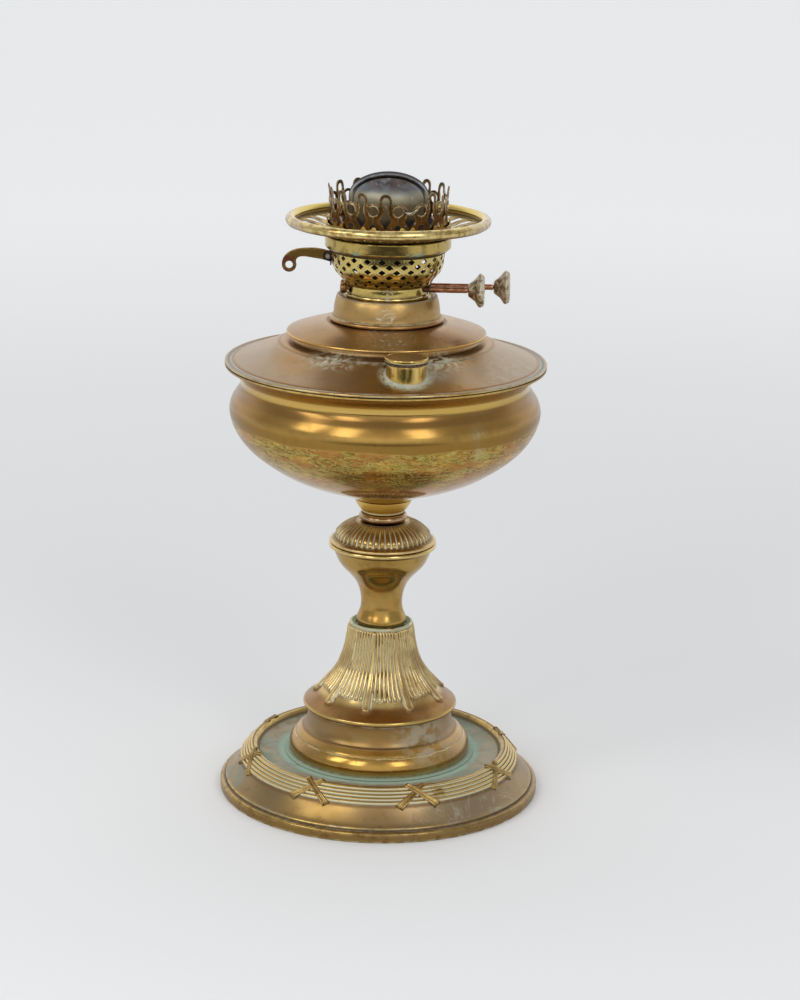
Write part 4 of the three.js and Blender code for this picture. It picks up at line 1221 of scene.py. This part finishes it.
def fount_brass():
    made = brass("fount_brass", tint("bd9650"), tint("a17c40"), 0.15, 36.0, YELLOW_BRASS, tint("8a6a3a"), 0.15, 0.5)
    edge = made.maths("ADD", made.z, made.maths("MULTIPLY", made.turned(14.0, 14.0, 5.0), 5.0))
    low = made.times(made.between(edge, 225.0, 223.8), made.between(made.z, 183.0, 200.0))
    made.cover(made.times(low, 0.9), tint("9f7737"), rough=0.22)
    ochre = made.between(made.turned(26.0, 11.0, 8.0, 0.7, 1.2, 3.0), 0.47, 0.55)
    made.cover(made.times(low, ochre, 0.95), tint("c89c42"), 0.95, 0.22)
    tide = made.turned(30.0, 13.0, 8.0, 0.7, 1.2)
    made.cover(made.times(low, made.between(tide, 0.5, 0.56), 0.75), tint("9a5a28"), rough=0.22)
    green = made.between(made.turned(34.0, 12.0, 8.0, 0.72, 1.6, 9.0), 0.47, 0.55)
    middle = made.near_point(at_angle(10, 78, 212), 92.0, 20.0)
    made.cover(made.times(low, green, made.blend(0.35, 0.85, middle)), tint("a19a4c"), 0.9, 0.26)
    swirls = made.turned(9.0, 5.0, 8.0, 0.74, 2.4, 21.0)
    brown = made.times(made.between(swirls, 0.49, 0.55), made.between(swirls, 0.66, 0.58))
    made.cover(made.times(low, brown, 0.75), tint("6a431c"), 0.95, 0.28)
    veins = made.turned(12.0, 7.0, 8.0, 0.72, 3.0, 33.0)
    made.cover(made.times(low, made.between(veins, 0.47, 0.5), made.between(veins, 0.54, 0.51), 0.75), tint("cdbd6c"), 0.8, 0.34)
    warm = made.between(made.turned(16.0, 10.0, 6.0, 0.62, 1.0, 47.0), 0.53, 0.6)
    made.cover(made.times(low, warm, 0.55), tint("ad7038"), rough=0.22)
    rosy = made.times(made.between(made.z, 203.0, 192.0), made.between(made.turned(20.0, 9.0, 5.0, shift=61.0), 0.44, 0.6))
    made.cover(made.times(rosy, made.between(made.z, 180.0, 186.0), 0.7), tint("c08a6c"), 0.95, 0.26)
    drip = made.near_point(at_angle(37, 85, 230), 26.0, 2.0, (4.0, 1.5, 1.0))
    made.cover(made.times(drip, made.patches(6.0, 0.4, 0.6, stretch=(2.0, 2.0, 0.4)), 0.6), tint("b7ab86"), 0.7, 0.4)
    # painted reflection: the belt darker at its left and right, where it mirrors the dim sides of the room
    sides = made.between(made.maths("ABSOLUTE", made.x), 56.0, 82.0)
    made.cover(made.times(sides, made.between(made.z, 222.0, 230.0), 0.6), tint("94734a"), 0.95, 0.26)
    made.cover(made.zone(224.6, 229.0, 1.5), rough=0.27)
    # painted reflection: a dark olive band just above the patina's edge, for the dark horizon that the belt mirrors
    made.cover(made.times(made.between(edge, 224.4, 225.2), made.between(made.z, 230.5, 226.5), 0.75), tint("86652c"))
    # painted reflections on the waist: darker bands where it mirrors the dim ceiling, and above them a bright painted
    # highlight band
    made.cover(made.times(made.zone(232.5, 239.0, 2.5), 0.55), tint("8d6833"), 0.95, 0.26)
    made.cover(made.times(made.zone(237.0, 242.6, 2.0), 0.5), tint("7f5f38"), 0.95, 0.22)
    made.cover(made.times(made.zone(243.0, 249.0, 1.6), 0.6), tint("e2be66"), 1.0, 0.1)
    # painted shadow under the rim
    made.cover(made.times(made.near_ring(89.8, 252.3, 1.8), 0.6), tint("7a5d33"), 0.9, 0.4)
    made.cover(made.between(made.z, 206.0, 190.0), rough=0.1)
    # painted reflection: the bowl darker towards its bottom, where it mirrors the dark base
    made.cover(made.times(made.between(made.z, 190.0, 180.0), 0.6), tint("86652f"))
    foot = made.between(made.z, 175.0, 174.8)
    made.cover(foot, tint("dfbb62"), 1.0, 0.34)
    made.cover(made.times(foot, made.near_ring(12.2, 167.7, 0.9), 0.8), CREAM, 0.6, 0.5)
    return made.done()


def shoulder_brass():
    made = brass("shoulder_brass", tint("a9824a"), tint("91693a"), 0.27, 44.0, POLISHED, tint("7d5c34"), 0.3, 0.5)
    haze = made.between(made.turned(50.0, 30.0, 4.0, 0.5, 0.6, 2.0), 0.44, 0.66)
    made.cover(made.times(haze, 0.45), TARNISH, 0.9, 0.34)
    # painted reflection: the shoulder greyer at its left and right, where it mirrors the room
    sides = made.between(made.maths("ABSOLUTE", made.x), 50.0, 84.0)
    made.cover(made.times(sides, 0.5), tint("a2937c"), 0.85, 0.36)
    far_side = made.times(made.between(made.x, 42.0, 70.0), made.patches(5.0, 0.46, 0.6, detail=7.0, warp=1.0, shift=81.0))
    made.cover(made.times(far_side, 0.5), tint("b9b5a6"), 0.4, 0.55)
    # painted light: the step under the cap disc painted lighter, for light bouncing in under it
    step = made.near_ring(56.0, 267.5, 5.5)
    made.cover(made.times(step, 0.8), tint("bd9360"), 0.9, 0.42)
    fringe = made.patches(6.0, 0.42, 0.62, warp=1.5)
    for degrees in (-34, -24, 22, 34):
        pale = made.near_point(at_angle(degrees, 60, 266), 17.0, 3.0, (1.0, 1.0, 2.0))
        made.cover(made.times(pale, fringe, 0.8), tint("c8c5ae"), 0.2, 0.65)
    crease = made.near_ring(60.4, 266.0, 1.8)
    made.cover(made.times(crease, 0.35), tint("8a5c33"), 0.9, 0.45)
    front = made.near_point(at_angle(4, 61, 266), 60.0, 30.0)
    made.cover(made.times(made.near_ring(60.4, 266.0, 3.0), front, made.patches(7.0, 0.36, 0.6), 0.8), tint("b5bba6"), 0.2, 0.75)
    round_filler = made.near_point((FILLER.x, FILLER.y, 261.0), 17.0, 11.2, (1.0, 1.0, 0.5))
    made.cover(made.times(round_filler, made.patches(3.0, 0.3, 0.54, warp=1.0), 0.9), tint("bdc3ae"), 0.15, 0.8)
    trail = made.near_point((FILLER.x + 17, FILLER.y + 3, 263.5), 9.0, 2.0, (0.7, 1.0, 1.4))
    made.cover(made.times(trail, made.patches(2.6, 0.4, 0.62, warp=2.0), 0.7), tint("b4b7a6"), 0.2, 0.75)
    made.cover(made.near_point((FILLER.x - 11.0, FILLER.y + 6.5, 264.0), 3.4, 1.2), tint("3d3426"), 0.4, 0.7)
    made.cover(made.times(made.near_ring(86.0, 255.4, 1.6), 0.7), tint("8b5c30"), 1.0, 0.3)
    made.cover(made.times(made.near_ring(88.7, 254.8, 1.3), 0.9), tint("8f9a9a"), 0.3, 0.55)
    made.cover(made.times(made.near_ring(87.6, 255.2, 0.7), made.patches(14.0, 0.4, 0.6), 0.7), tint("c3c6b8"), 0.3, 0.6)
    lip = made.near_ring(90.8, 254.6, 0.9)
    made.cover(made.times(lip, made.patches(11.0, 0.3, 0.6), 0.9), tint("cdbd8c"), 0.9, 0.3)
    made.cover(made.times(made.near_ring(56.3, 271.9, 1.0), 0.9), tint("d3a558"), 1.0, 0.18)
    made.cover(made.times(made.near_ring(33.0, 278.1, 1.8), 0.7), BROWN, 0.8, 0.5)
    # painted light: the front of the cap disc painted lighter
    front = made.near_point(at_angle(0, 40, 277), 26.0, 8.0)
    made.cover(made.times(made.zone(272, 279), front, 0.6), tint("c0a683"), 0.85, 0.42)
    dust = made.times(made.zone(272, 279), front, made.patches(2.0, 0.54, 0.68, shift=31.0))
    made.cover(made.times(dust, 0.8), tint("c8bfa6"), 0.4, 0.6)
    return made.done()


def collar_brass():
    made = brass("collar_brass", tint("b6965f"), tint("9c7a48"), 0.34, 16.0, POLISHED, tint("7f6238"), 0.3, 0.5)
    made.cover(made.times(made.zone(278.4, 280.6, 0.5), 0.7), tint("a67c50"), 1.0, 0.3)
    made.cover(made.times(made.near_ring(31.0, 281.2, 0.9), made.patches(5.0, 0.36, 0.6), 0.85), CREAM, 0.3, 0.6)
    smear = made.near_point(at_angle(-2, 29.6, 286), 5.4, 3.0, (0.7, 0.7, 1.1))
    made.cover(made.times(smear, 0.4), tint("c2aa82"), 0.9, 0.42)
    veins = made.noise(6.0, 1.5, 0.5, warp=1.0, shift=2.0)
    outline = made.times(made.between(veins, 0.46, 0.49), made.between(veins, 0.54, 0.5))
    made.cover(made.times(smear, outline, 0.7), tint("ddd5c2"), 0.4, 0.45)
    top = made.between(made.z, 291.8, 292.6)
    made.cover(made.times(top, made.patches(4.0, 0.3, 0.6), 0.8), tint("8f8878"), 0.6, 0.5)
    return made.done()


def filler_brass():
    made = brass("filler_brass", tint("c4a356"), tint("a07f42"), 0.15, 8.0, tint("ecd48c"), tint("6d5029"), 0.3, 0.5)
    neck = made.between(made.z, 268.6, 268.2)
    # painted highlight and shade: bright and dark upright streaks on the neck, as light and dark reflections along a
    # cylinder
    streak = made.between(made.noise(2.4, 4.0, stretch=(1.0, 1.0, 0.12)), 0.5, 0.56)
    made.cover(made.times(neck, streak, 0.75), tint("e2c67a"), rough=0.26)
    shade = made.between(made.noise(3.0, 4.0, stretch=(1.0, 1.0, 0.12), shift=9.0), 0.52, 0.58)
    made.cover(made.times(neck, shade, 0.6), tint("8a6a34"), rough=0.24)
    made.cover(made.times(neck, made.hollow), tint("b9b39c"), 0.4, 0.55)
    made.cover(made.times(neck, made.hollow, made.patches(3.0, 0.5, 0.64), 0.7), VERDIGRIS, 0.1, 0.8)
    face = made.times(made.between(made.z, 271.2, 271.4), made.near_point((FILLER.x, FILLER.y, 271.5), 10.8, 10.2))
    made.cover(face, tint("947344"), 0.85, 0.42)
    made.cover(made.times(face, made.patches(6.0, 0.42, 0.66, warp=0.6), 0.6), tint("9a7a4e"), 0.9, 0.36)
    made.cover(made.times(made.zone(269.7, 270.2, 0.4), 0.8), tint("b9b79b"), 0.3, 0.6)
    return made.done()


def burner_brass():
    made = brass("burner_brass", tint("c9b267"), tint("a88d4c"), 0.13, 9.0, tint("eadb9c"), tint("6b5530"), 0.25, 0.5)
    lower = made.between(made.z, 306.0, 302.0)
    made.cover(made.times(lower, made.between(made.z, 300.0, 300.6), 0.25), tint("b0944e"), rough=0.2)
    stain = made.near_point(at_angle(3, 22.5, 297), 5.0, 1.5, (1.6, 1.0, 0.6))
    made.cover(made.times(stain, made.patches(2.6, 0.36, 0.58), 0.8), tint("bdb6a2"), 0.3, 0.6)
    made.cover(made.times(made.patches(3.2, 0.6, 0.7, shift=13.0), 0.7), tint("8d7a4c"), rough=0.35)
    made.cover(made.times(made.patches(2.0, 0.68, 0.74, shift=43.0), 0.8), TURQUOISE, 0.1, 0.85)
    made.cover(made.times(made.near_ring(22.6, 300.2, 1.2), 0.8), DARK_BROWN, 0.5, 0.6)
    made.cover(made.times(made.near_ring(22.9, 292.6, 0.9), 0.6), tint("7d5526"), 1.0, 0.3)
    return made.done()


def burner_inside():
    return simple("burner_inside", tint("4a3b26"), tint("2c241a"), 0.7, 0.55)


def gallery_brass():
    made = brass("gallery_brass", tint("ad9152"), tint("8b6f3e"), 0.18, 14.0, tint("ecd794"), tint("5d4728"), 0.3, 0.6)
    band = made.between(made.z, 327.0, 326.7)
    made.cover(band, tint("b79f5c"), 1.0, 0.13)
    made.cover(made.times(band, made.patches(5.0, 0.5, 0.64, shift=27.0), 0.6), tint("7b6338"), rough=0.3)
    for degrees, reach in ((-30, 4.0), (27, 6.5), (150, 6.0), (-120, 5.0)):
        stain = made.near_point(at_angle(degrees, BAND_RADIUS, 320.4), reach, 1.0, (0.8, 0.8, 2.4))
        made.cover(made.times(band, stain, made.patches(2.6, 0.36, 0.56, warp=1.0), 0.8), tint("86aa98"), 0.1, 0.8)
    bead = made.times(made.between(made.radius, 51.0, 52.4), made.zone(331, 340))
    sides = made.between(made.maths("ABSOLUTE", made.x), 40.0, 56.0)
    made.cover(made.times(bead, sides, made.patches(10.0, 0.3, 0.6), 0.8), tint("b3a598"), 0.95, 0.32)
    made.cover(made.times(bead, made.between(made.z, 334.2, 332.6), 0.75), tint("6f5530"), 0.9, 0.4)
    made.cover(made.times(bead, made.patches(4.0, 0.55, 0.66, shift=37.0), 0.5), tint("8a6b3c"), rough=0.35)
    made.cover(made.times(made.spread(51.0, 54.0), made.between(made.z, 333.4, 334.4)), tint("d6bc6c"), 1.0, 0.22)
    made.cover(made.times(made.near_ring(51.4, 333.0, 1.8), 0.7), tint("8f8878"), 0.6, 0.5)
    dish = made.times(made.spread(34.6, 50.4, 0.4), made.between(made.z, 327.0, 327.4))
    made.cover(made.times(dish, 0.6), tint("bfa975"), 0.95, 0.32)
    made.cover(made.times(dish, made.between(made.turned(4.0, 40.0, 5.0, shift=17.0), 0.46, 0.64), 0.6), tint("8b7850"), 0.9, 0.4)
    # painted shade: the inside of the band, under the dish, painted near black
    made.cover(made.times(made.between(made.radius, 34.6, 34.3), made.between(made.z, 326.9, 326.6), 0.9), tint("2e2519"), 0.4, 0.7)
    tabs = made.times(made.between(made.radius, 34.9, 34.6), made.between(made.z, 332.5, 334.0))
    made.cover(tabs, tint("dcc070"), 1.0, 0.24)
    return made.done()


def coronet_brass():
    made = brass("coronet_brass", tint("7d6039"), tint("55422a"), 0.28, 9.0, tint("bfa478"), DARK_BROWN, 0.1, 0.8)
    made.cover(made.times(made.between(made.z, 343.5, 338.5), made.patches(6.0, 0.42, 0.62, shift=9.0), 0.7), tint("9a6a34"), 1.0, 0.3)
    made.cover(made.times(made.between(made.z, 347.0, 350.0), 0.6), tint("54402c"), 1.0, 0.36)
    rims = made.times(made.ridge, made.zone(341.0, 347.5, 0.5), made.patches(6.0, 0.36, 0.5, shift=3.0))
    made.cover(made.times(rims, 0.5), tint("c9b690"), 1.0, 0.26)
    made.cover(made.times(made.patches(3.0, 0.62, 0.7, shift=19.0), 0.6), tint("a8b0a4"), 0.4, 0.7)
    worn = made.times(made.ridge, made.between(made.z, 338, 342), made.patches(4.0, 0.3, 0.6), 0.6)
    made.cover(worn, tint("b8a584"), 1.0, 0.24)
    return made.done()


# painted highlight: the folded strip gets a pale copy of the coronet's brass for the light it catches
def strip_painted_highlight():
    return simple("strip_painted_highlight", tint("cbc5b4"), tint("857052"), 0.9, 0.3, 2.0)


def dome_plate():
    made = Finish("dome_plate", tint("84868a"), 0.9, 0.4)
    made.cover(made.times(made.patches(14.0, 0.4, 0.62, detail=5.0, warp=0.4), 0.6), tint("6d7277"), rough=0.42)
    tinge = made.near_point((1.0, -12.0, 357.0), 15.0, 3.0, (0.75, 1.0, 2.0))
    made.cover(made.times(tinge, made.patches(7.0, 0.34, 0.56, shift=5.0), 0.85), tint("5f463e"), 0.9, 0.4)
    low = made.maths("ADD", made.z, made.maths("MULTIPLY", made.noise(7.0, 6.0), 7.0))
    made.cover(made.times(made.between(low, 358.5, 353.5), 0.85), tint("a39b80"), 0.6, 0.5)
    made.cover(made.times(made.between(low, 352.5, 349.0), 0.92), tint("66562f"), 0.1, 0.7)
    # painted shade: the dome near black low down, inside the coronet
    made.cover(made.between(low, 343.0, 339.0), tint("1a150f"), 0.0, 0.8)
    made.cover(made.times(made.patches(3.0, 0.62, 0.7, shift=15.0), made.between(made.z, 343, 346), 0.4), tint("c8c4b6"), 0.6, 0.5)
    off_slot = made.maths("ABSOLUTE", made.maths("SUBTRACT", made.maths("ABSOLUTE", made.y), abs(TUBE_Y)))
    soot = made.times(made.between(made.maths("ABSOLUTE", made.x), 21.0, 19.0), made.between(off_slot, 2.3, 1.9))
    made.cover(made.times(soot, 0.9), tint("1d1917"), 0.3, 0.7)
    crown = made.times(made.between(low, 359.5, 362.0), made.patches(5.0, 0.3, 0.56, shift=43.0))
    made.cover(made.times(crown, 0.85), tint("3a302b"), 0.85, 0.42)
    # painted shade: a near-black matt band on the dome behind the front slot
    behind = made.times(made.between(made.y, -4.4, -3.4), made.between(made.y, 14.0, 11.0), 0.85)
    made.cover(behind, tint("1c1816"), 0.0, 0.95)
    made.lift(made.maths("MULTIPLY", made.noise(1.5, 5.0, 0.6), 0.02))
    return made.done()


def snuffer_metal():
    return simple("snuffer_metal", tint("2e2721"), tint("4f4336"), 0.5, 0.6)


def lever_brass():
    made = brass("lever_brass", tint("8c6c38"), tint("6f5429"), 0.3, 8.0, tint("b0925c"), DARK_BROWN, 0.1)
    eye = made.near_point((-55.2, 0, 308.8), 6.4, 4.8, (1, 0, 1))
    made.cover(made.times(eye, made.patches(3.0, 0.3, 0.6)), tint("6b3a2c"), 0.8, 0.4)
    return made.done()


def pin_steel():
    return simple("pin_steel", tint("a5a19a"), tint("77706a"), 0.9, 0.35, 1.5)


def bracket_black():
    return simple("bracket_black", IRON_BLACK, tint("4b3a2c"), 0.7, 0.55, 2.5)


def spindle_copper():
    made = brass("spindle_copper", tint("a96f55"), tint("7c4b3a"), 0.28, 6.0, tint("d3a786"), tint("4a2f26"), 0.2)
    made.cover(made.times(made.between(made.noise(5.0, 5.0, stretch=(1.0, 2.0, 2.0)), 0.5, 0.62), 0.6), BROWN, rough=0.45)
    made.cover(made.times(made.between(made.x, -20.0, -22.0), 0.85), tint("7f6238"), 1.0, 0.35)
    made.cover(made.times(made.between(made.x, 26.5, 23.5), made.between(made.x, 20.0, 21.5), 0.8), DARK_BROWN, 0.7, 0.5)
    return made.done()


def knob_nickel():
    made = Finish("knob_nickel", tint("d2c7b0"), 0.5, 0.42)
    made.cover(made.patches(4.0, 0.4, 0.64, detail=6.0, warp=1.0), tint("b5a98f"), rough=0.48)
    flare = made.patches(5.0, 0.44, 0.56, shift=5.0, warp=1.0)
    made.cover(made.times(flare, 0.9), tint("83663c"), 0.95, 0.4)
    made.cover(made.times(made.hollow, 0.5), tint("5a452f"), 0.8, 0.55)
    made.cover(made.times(made.ridge, made.patches(3.0, 0.3, 0.6, shift=9.0), 0.7), tint("ddd6c6"), 0.9, 0.34)
    made.lift(made.maths("MULTIPLY", made.noise(1.0, 4.0, 0.6), 0.03))
    return made.done()


def wick_cotton():
    made = Finish("wick_cotton", tint("cfc3a4"), 0.0, 0.95)
    ribs = made.maths("SINE", made.maths("MULTIPLY", made.x, 4.4))
    rows = made.maths("SINE", made.maths("MULTIPLY", made.z, 6.5))
    weave = made.maths("MULTIPLY", ribs, rows)
    made.cover(made.times(made.between(weave, 0.2, -0.6), 0.5), tint("a99a78"))
    made.cover(made.times(made.patches(12.0, 0.4, 0.65), 0.6), tint("b8a27a"))
    charred = made.maths("ADD", made.z, made.maths("MULTIPLY", made.noise(4.0), 5.0))
    made.cover(made.between(charred, 334.0, 341.0), tint("6b4f35"), rough=0.95)
    made.cover(made.between(charred, 341.5, 345.0), tint("14110f"), rough=1.0)
    made.lift(made.maths("MULTIPLY", weave, 0.15))
    return made.done()


def seal_leather():
    made = Finish("seal_leather", tint("3d2a1d"), 0.0, 0.7)
    made.cover(made.patches(2.0, 0.45, 0.6, detail=6.0), tint("5b4029"), rough=0.6)
    made.cover(made.times(made.patches(1.2, 0.55, 0.65, shift=4.0), 0.6), tint("8d8a70"), rough=0.85)
    made.lift(made.maths("MULTIPLY", made.noise(0.5, 4.0, 0.7), 0.06))
    return made.done()


def rod_steel():
    return simple("rod_steel", tint("77716a"), tint("5d3a26"), 0.7, 0.5)


def base_iron():
    return simple("base_iron", tint("2e2a28"), tint("5b3421"), 0.2, 0.8, 6.0)


# ---------------------------------------------------------------- the lamp

def spindle_button(name, side):
    outline = [(0, -26.4), (1.7, -26.4), (2.4, -26.0), (2.75, -25.2), (2.75, -23.4), (2.3, -22.8), (1.1, -22.8), (1.1, -25.4), (0, -25.4)]
    return along_x(spun(name, outline, 36, 0.6), side * abs(SPINDLE_Y))


def repaint(finish, *nodes):
    """Gives CAD nodes that stay as they are a finish."""
    for name in nodes:
        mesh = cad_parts[name].data
        mesh.materials.clear()
        mesh.materials.append(finish)


def build():
    base = base_brass()
    ride(base_shell(), "lamp_body", ["base_shell"], base)
    ride(border_ribbons(), "lamp_body", [], ribbon_brass())
    ride(foot_dome(), "lamp_body", ["foot_dome"], dome_brass())
    ride(reeded_bell(), "lamp_body", ["reeded_bell"], bell_brass())
    ride(column_baluster(), "lamp_body", ["column_baluster"], column_brass())
    ride(knop_cap(), "lamp_body", ["knop_cap"], knop_brass())
    ride(neck_ring(), "lamp_body", ["neck_ring"], ring_copper())
    fount = fount_brass()
    ride(fount_foot(), "lamp_body", ["fount_foot"], fount)
    ride(fount_bowl(), "lamp_body", ["fount_bowl"], fount)
    shoulder = shoulder_brass()
    ride(fount_shoulder(), "lamp_body", ["fount_shoulder"], shoulder)
    ride(fount_cap_disc(), "lamp_body", ["fount_cap_disc"], shoulder)
    ride(fount_collar(), "lamp_body", ["fount_collar"], collar_brass())
    filler = filler_brass()
    ride(filler_neck(), "lamp_body", ["filler_neck"], filler)
    ride(filler_cap(), "filler_cap", ["filler_cap"], filler)

    burner, inside_brass = burner_brass(), burner_inside()
    ride(burner_skirt(), "burner", ["burner_skirt"], burner)
    ride(air_basket(), "burner", ["air_basket"], burner)
    copper, nickel, cotton = spindle_copper(), knob_nickel(), wick_cotton()
    for side, place in ((-1, "front"), (1, "rear")):
        winder = f"{place}_winder"
        start = LOW[f"{place}_knob"].x
        ride(spindle(f"{place}_spindle_turned", side, start), winder, [f"{place}_spindle"], copper)
        ride(spindle_button(f"{place}_button_turned", side), winder, [f"{place}_spindle_button"], copper)
        ride(winder_knob(f"{place}_knob_turned", side, start), winder, [f"{place}_knob"], nickel)
        woven = ride(wick(place, side), f"{place}_wick", [f"{place}_wick"], cotton)
        repaint(copper, f"{place}_spur_wheel_left", f"{place}_spur_wheel_right")
        repaint(inside_brass, f"{place}_wick_tube")
    repaint(inside_brass, "burner_floor")
    ride(snuffer_lever(), "lever", ["snuffer_lever"], lever_brass())
    repaint(snuffer_metal(), "snuffer_carrier", "front_snuffer_sleeve", "rear_snuffer_sleeve")
    repaint(bracket_black(), "lever_bracket")
    repaint(pin_steel(), "lever_pin")

    gallery, crown = gallery_brass(), coronet_brass()
    ride(gallery_band(), "gallery", ["gallery_band"], gallery)
    ride(shade_ring(), "gallery", ["shade_ring"], gallery)
    ride(coronet(), "gallery", ["coronet"], crown)
    ride(coronet_strip(), "gallery", [], strip_painted_highlight())
    ride(dome(), "gallery", ["dome"], dome_plate())
    repaint(crown, "chimney_seat")

    repaint(seal_leather(), "filler_washer")
    repaint(base_iron(), "base_weight")
    repaint(rod_steel(), "tie_rod", "tie_washer", "tie_nut")


# ---------------------------------------------------------------- studio

def flat_card(name, corners, finish):
    """A stage card through four corners, in metres."""
    mesh = bpy.data.meshes.new(name)
    mesh.from_pydata(corners, [], [(0, 1, 2, 3)])
    made = bpy.data.objects.new(name, mesh)
    bpy.context.scene.collection.objects.link(made)
    mesh.materials.append(finish)
    return made


def softbox(name, azimuth, elevation, distance, size, radiance, colour=(1, 1, 1)):
    """An area light that faces the lamp, with its brightness as a radiance."""
    target = Vector((0, 0, 0.2))
    a, e = math.radians(azimuth), math.radians(elevation)
    place = target + distance * Vector((math.cos(e) * math.sin(a), -math.cos(e) * math.cos(a), math.sin(e)))
    light = bpy.data.lights.new(name, "AREA")
    light.shape = "RECTANGLE"
    light.size, light.size_y = size
    light.energy = radiance * math.pi * size[0] * size[1]
    light.color = colour
    holder = bpy.data.objects.new(name, light)
    holder.location = place
    holder.rotation_euler = (target - place).to_track_quat("-Z", "Y").to_euler()
    holder.visible_camera = False
    bpy.context.scene.collection.objects.link(holder)


def pale_floor():
    """A plain pale ground with a painted glow: its emission grows with distance from the lamp, so that it looks lit
    like a backdrop further back.
    """
    made = Finish("pale_floor", tint("f1f2f3"), 0.0, 0.9)
    # painted light: the floor glows more the further it lies from the lamp
    glow = made.maths("MULTIPLY", made.between(made.radius, 250.0, 2200.0), 0.2)
    made.put(made.shader.inputs["Emission Color"], (0.96, 0.98, 1.0, 1.0))
    made.put(made.shader.inputs["Emission Strength"], glow)
    return made.done()


def room():
    """Light from all round: white behind the lamp, dim beside it, and bright in front."""
    world = bpy.data.worlds.new("room")
    world.use_nodes = True
    tree = world.node_tree
    direction = tree.nodes.new("ShaderNodeTexCoord").outputs["Generated"]
    split = tree.nodes.new("ShaderNodeSeparateXYZ")
    tree.links.new(direction, split.inputs[0])
    light = (0.5, 0.505, 0.51, 1.0)
    for low, high, colour in ((0.2, 0.62, (1.06, 1.07, 1.085, 1.0)), (-0.66, -0.92, (0.92, 0.92, 0.91, 1.0))):
        share = tree.nodes.new("ShaderNodeMapRange")
        share.interpolation_type = "SMOOTHSTEP"
        share.inputs["From Min"].default_value = low
        share.inputs["From Max"].default_value = high
        tree.links.new(split.outputs["Y"], share.inputs["Value"])
        mixed = tree.nodes.new("ShaderNodeMix")
        mixed.data_type = "RGBA"
        tree.links.new(share.outputs["Result"], mixed.inputs[0])
        if isinstance(light, tuple):
            mixed.inputs[6].default_value = light
        else:
            tree.links.new(light, mixed.inputs[6])
        mixed.inputs[7].default_value = colour
        light = mixed.outputs[2]
    tree.links.new(light, tree.nodes["Background"].inputs["Color"])
    bpy.context.scene.world = world


def studio():
    far = 40.0
    ground = [(-far, -far, 0), (far, -far, 0), (far, far, 0), (-far, far, 0)]
    flat_card("floor", ground, pale_floor())
    near, away, wide, level = -0.8, -4.0, 1.1, 0.002
    dark = [(-wide, away, level), (wide, away, level), (wide, near, level), (-wide, near, level)]
    card = flat_card("dark_card", dark, Finish("dark_card", tint("3c3935"), 0.0, 0.9).done())
    card.visible_camera = False
    card.visible_diffuse = False
    card.visible_shadow = False
    for name, azimuth in (("left_outer", -60), ("left_inner", -30), ("right", 29)):
        softbox(f"softbox_{name}", azimuth, 33, 1.6, (0.42, 0.8), 3.3)
    room()
    bpy.context.scene.view_settings.view_transform = "Standard"


def camera():
    made = bpy.data.objects.new("camera", bpy.data.cameras.new("camera"))
    made.data.lens = 96.16
    made.data.sensor_width = 36.0
    tilt = Matrix.Rotation(math.radians(74.74), 4, "X") @ Matrix.Rotation(math.radians(1.15), 4, "Z")
    made.matrix_world = Matrix.Translation((0.0095, -1.4773, 0.57635)) @ tilt
    bpy.context.scene.collection.objects.link(made)
    bpy.context.scene.camera = made


build()
studio()
camera()
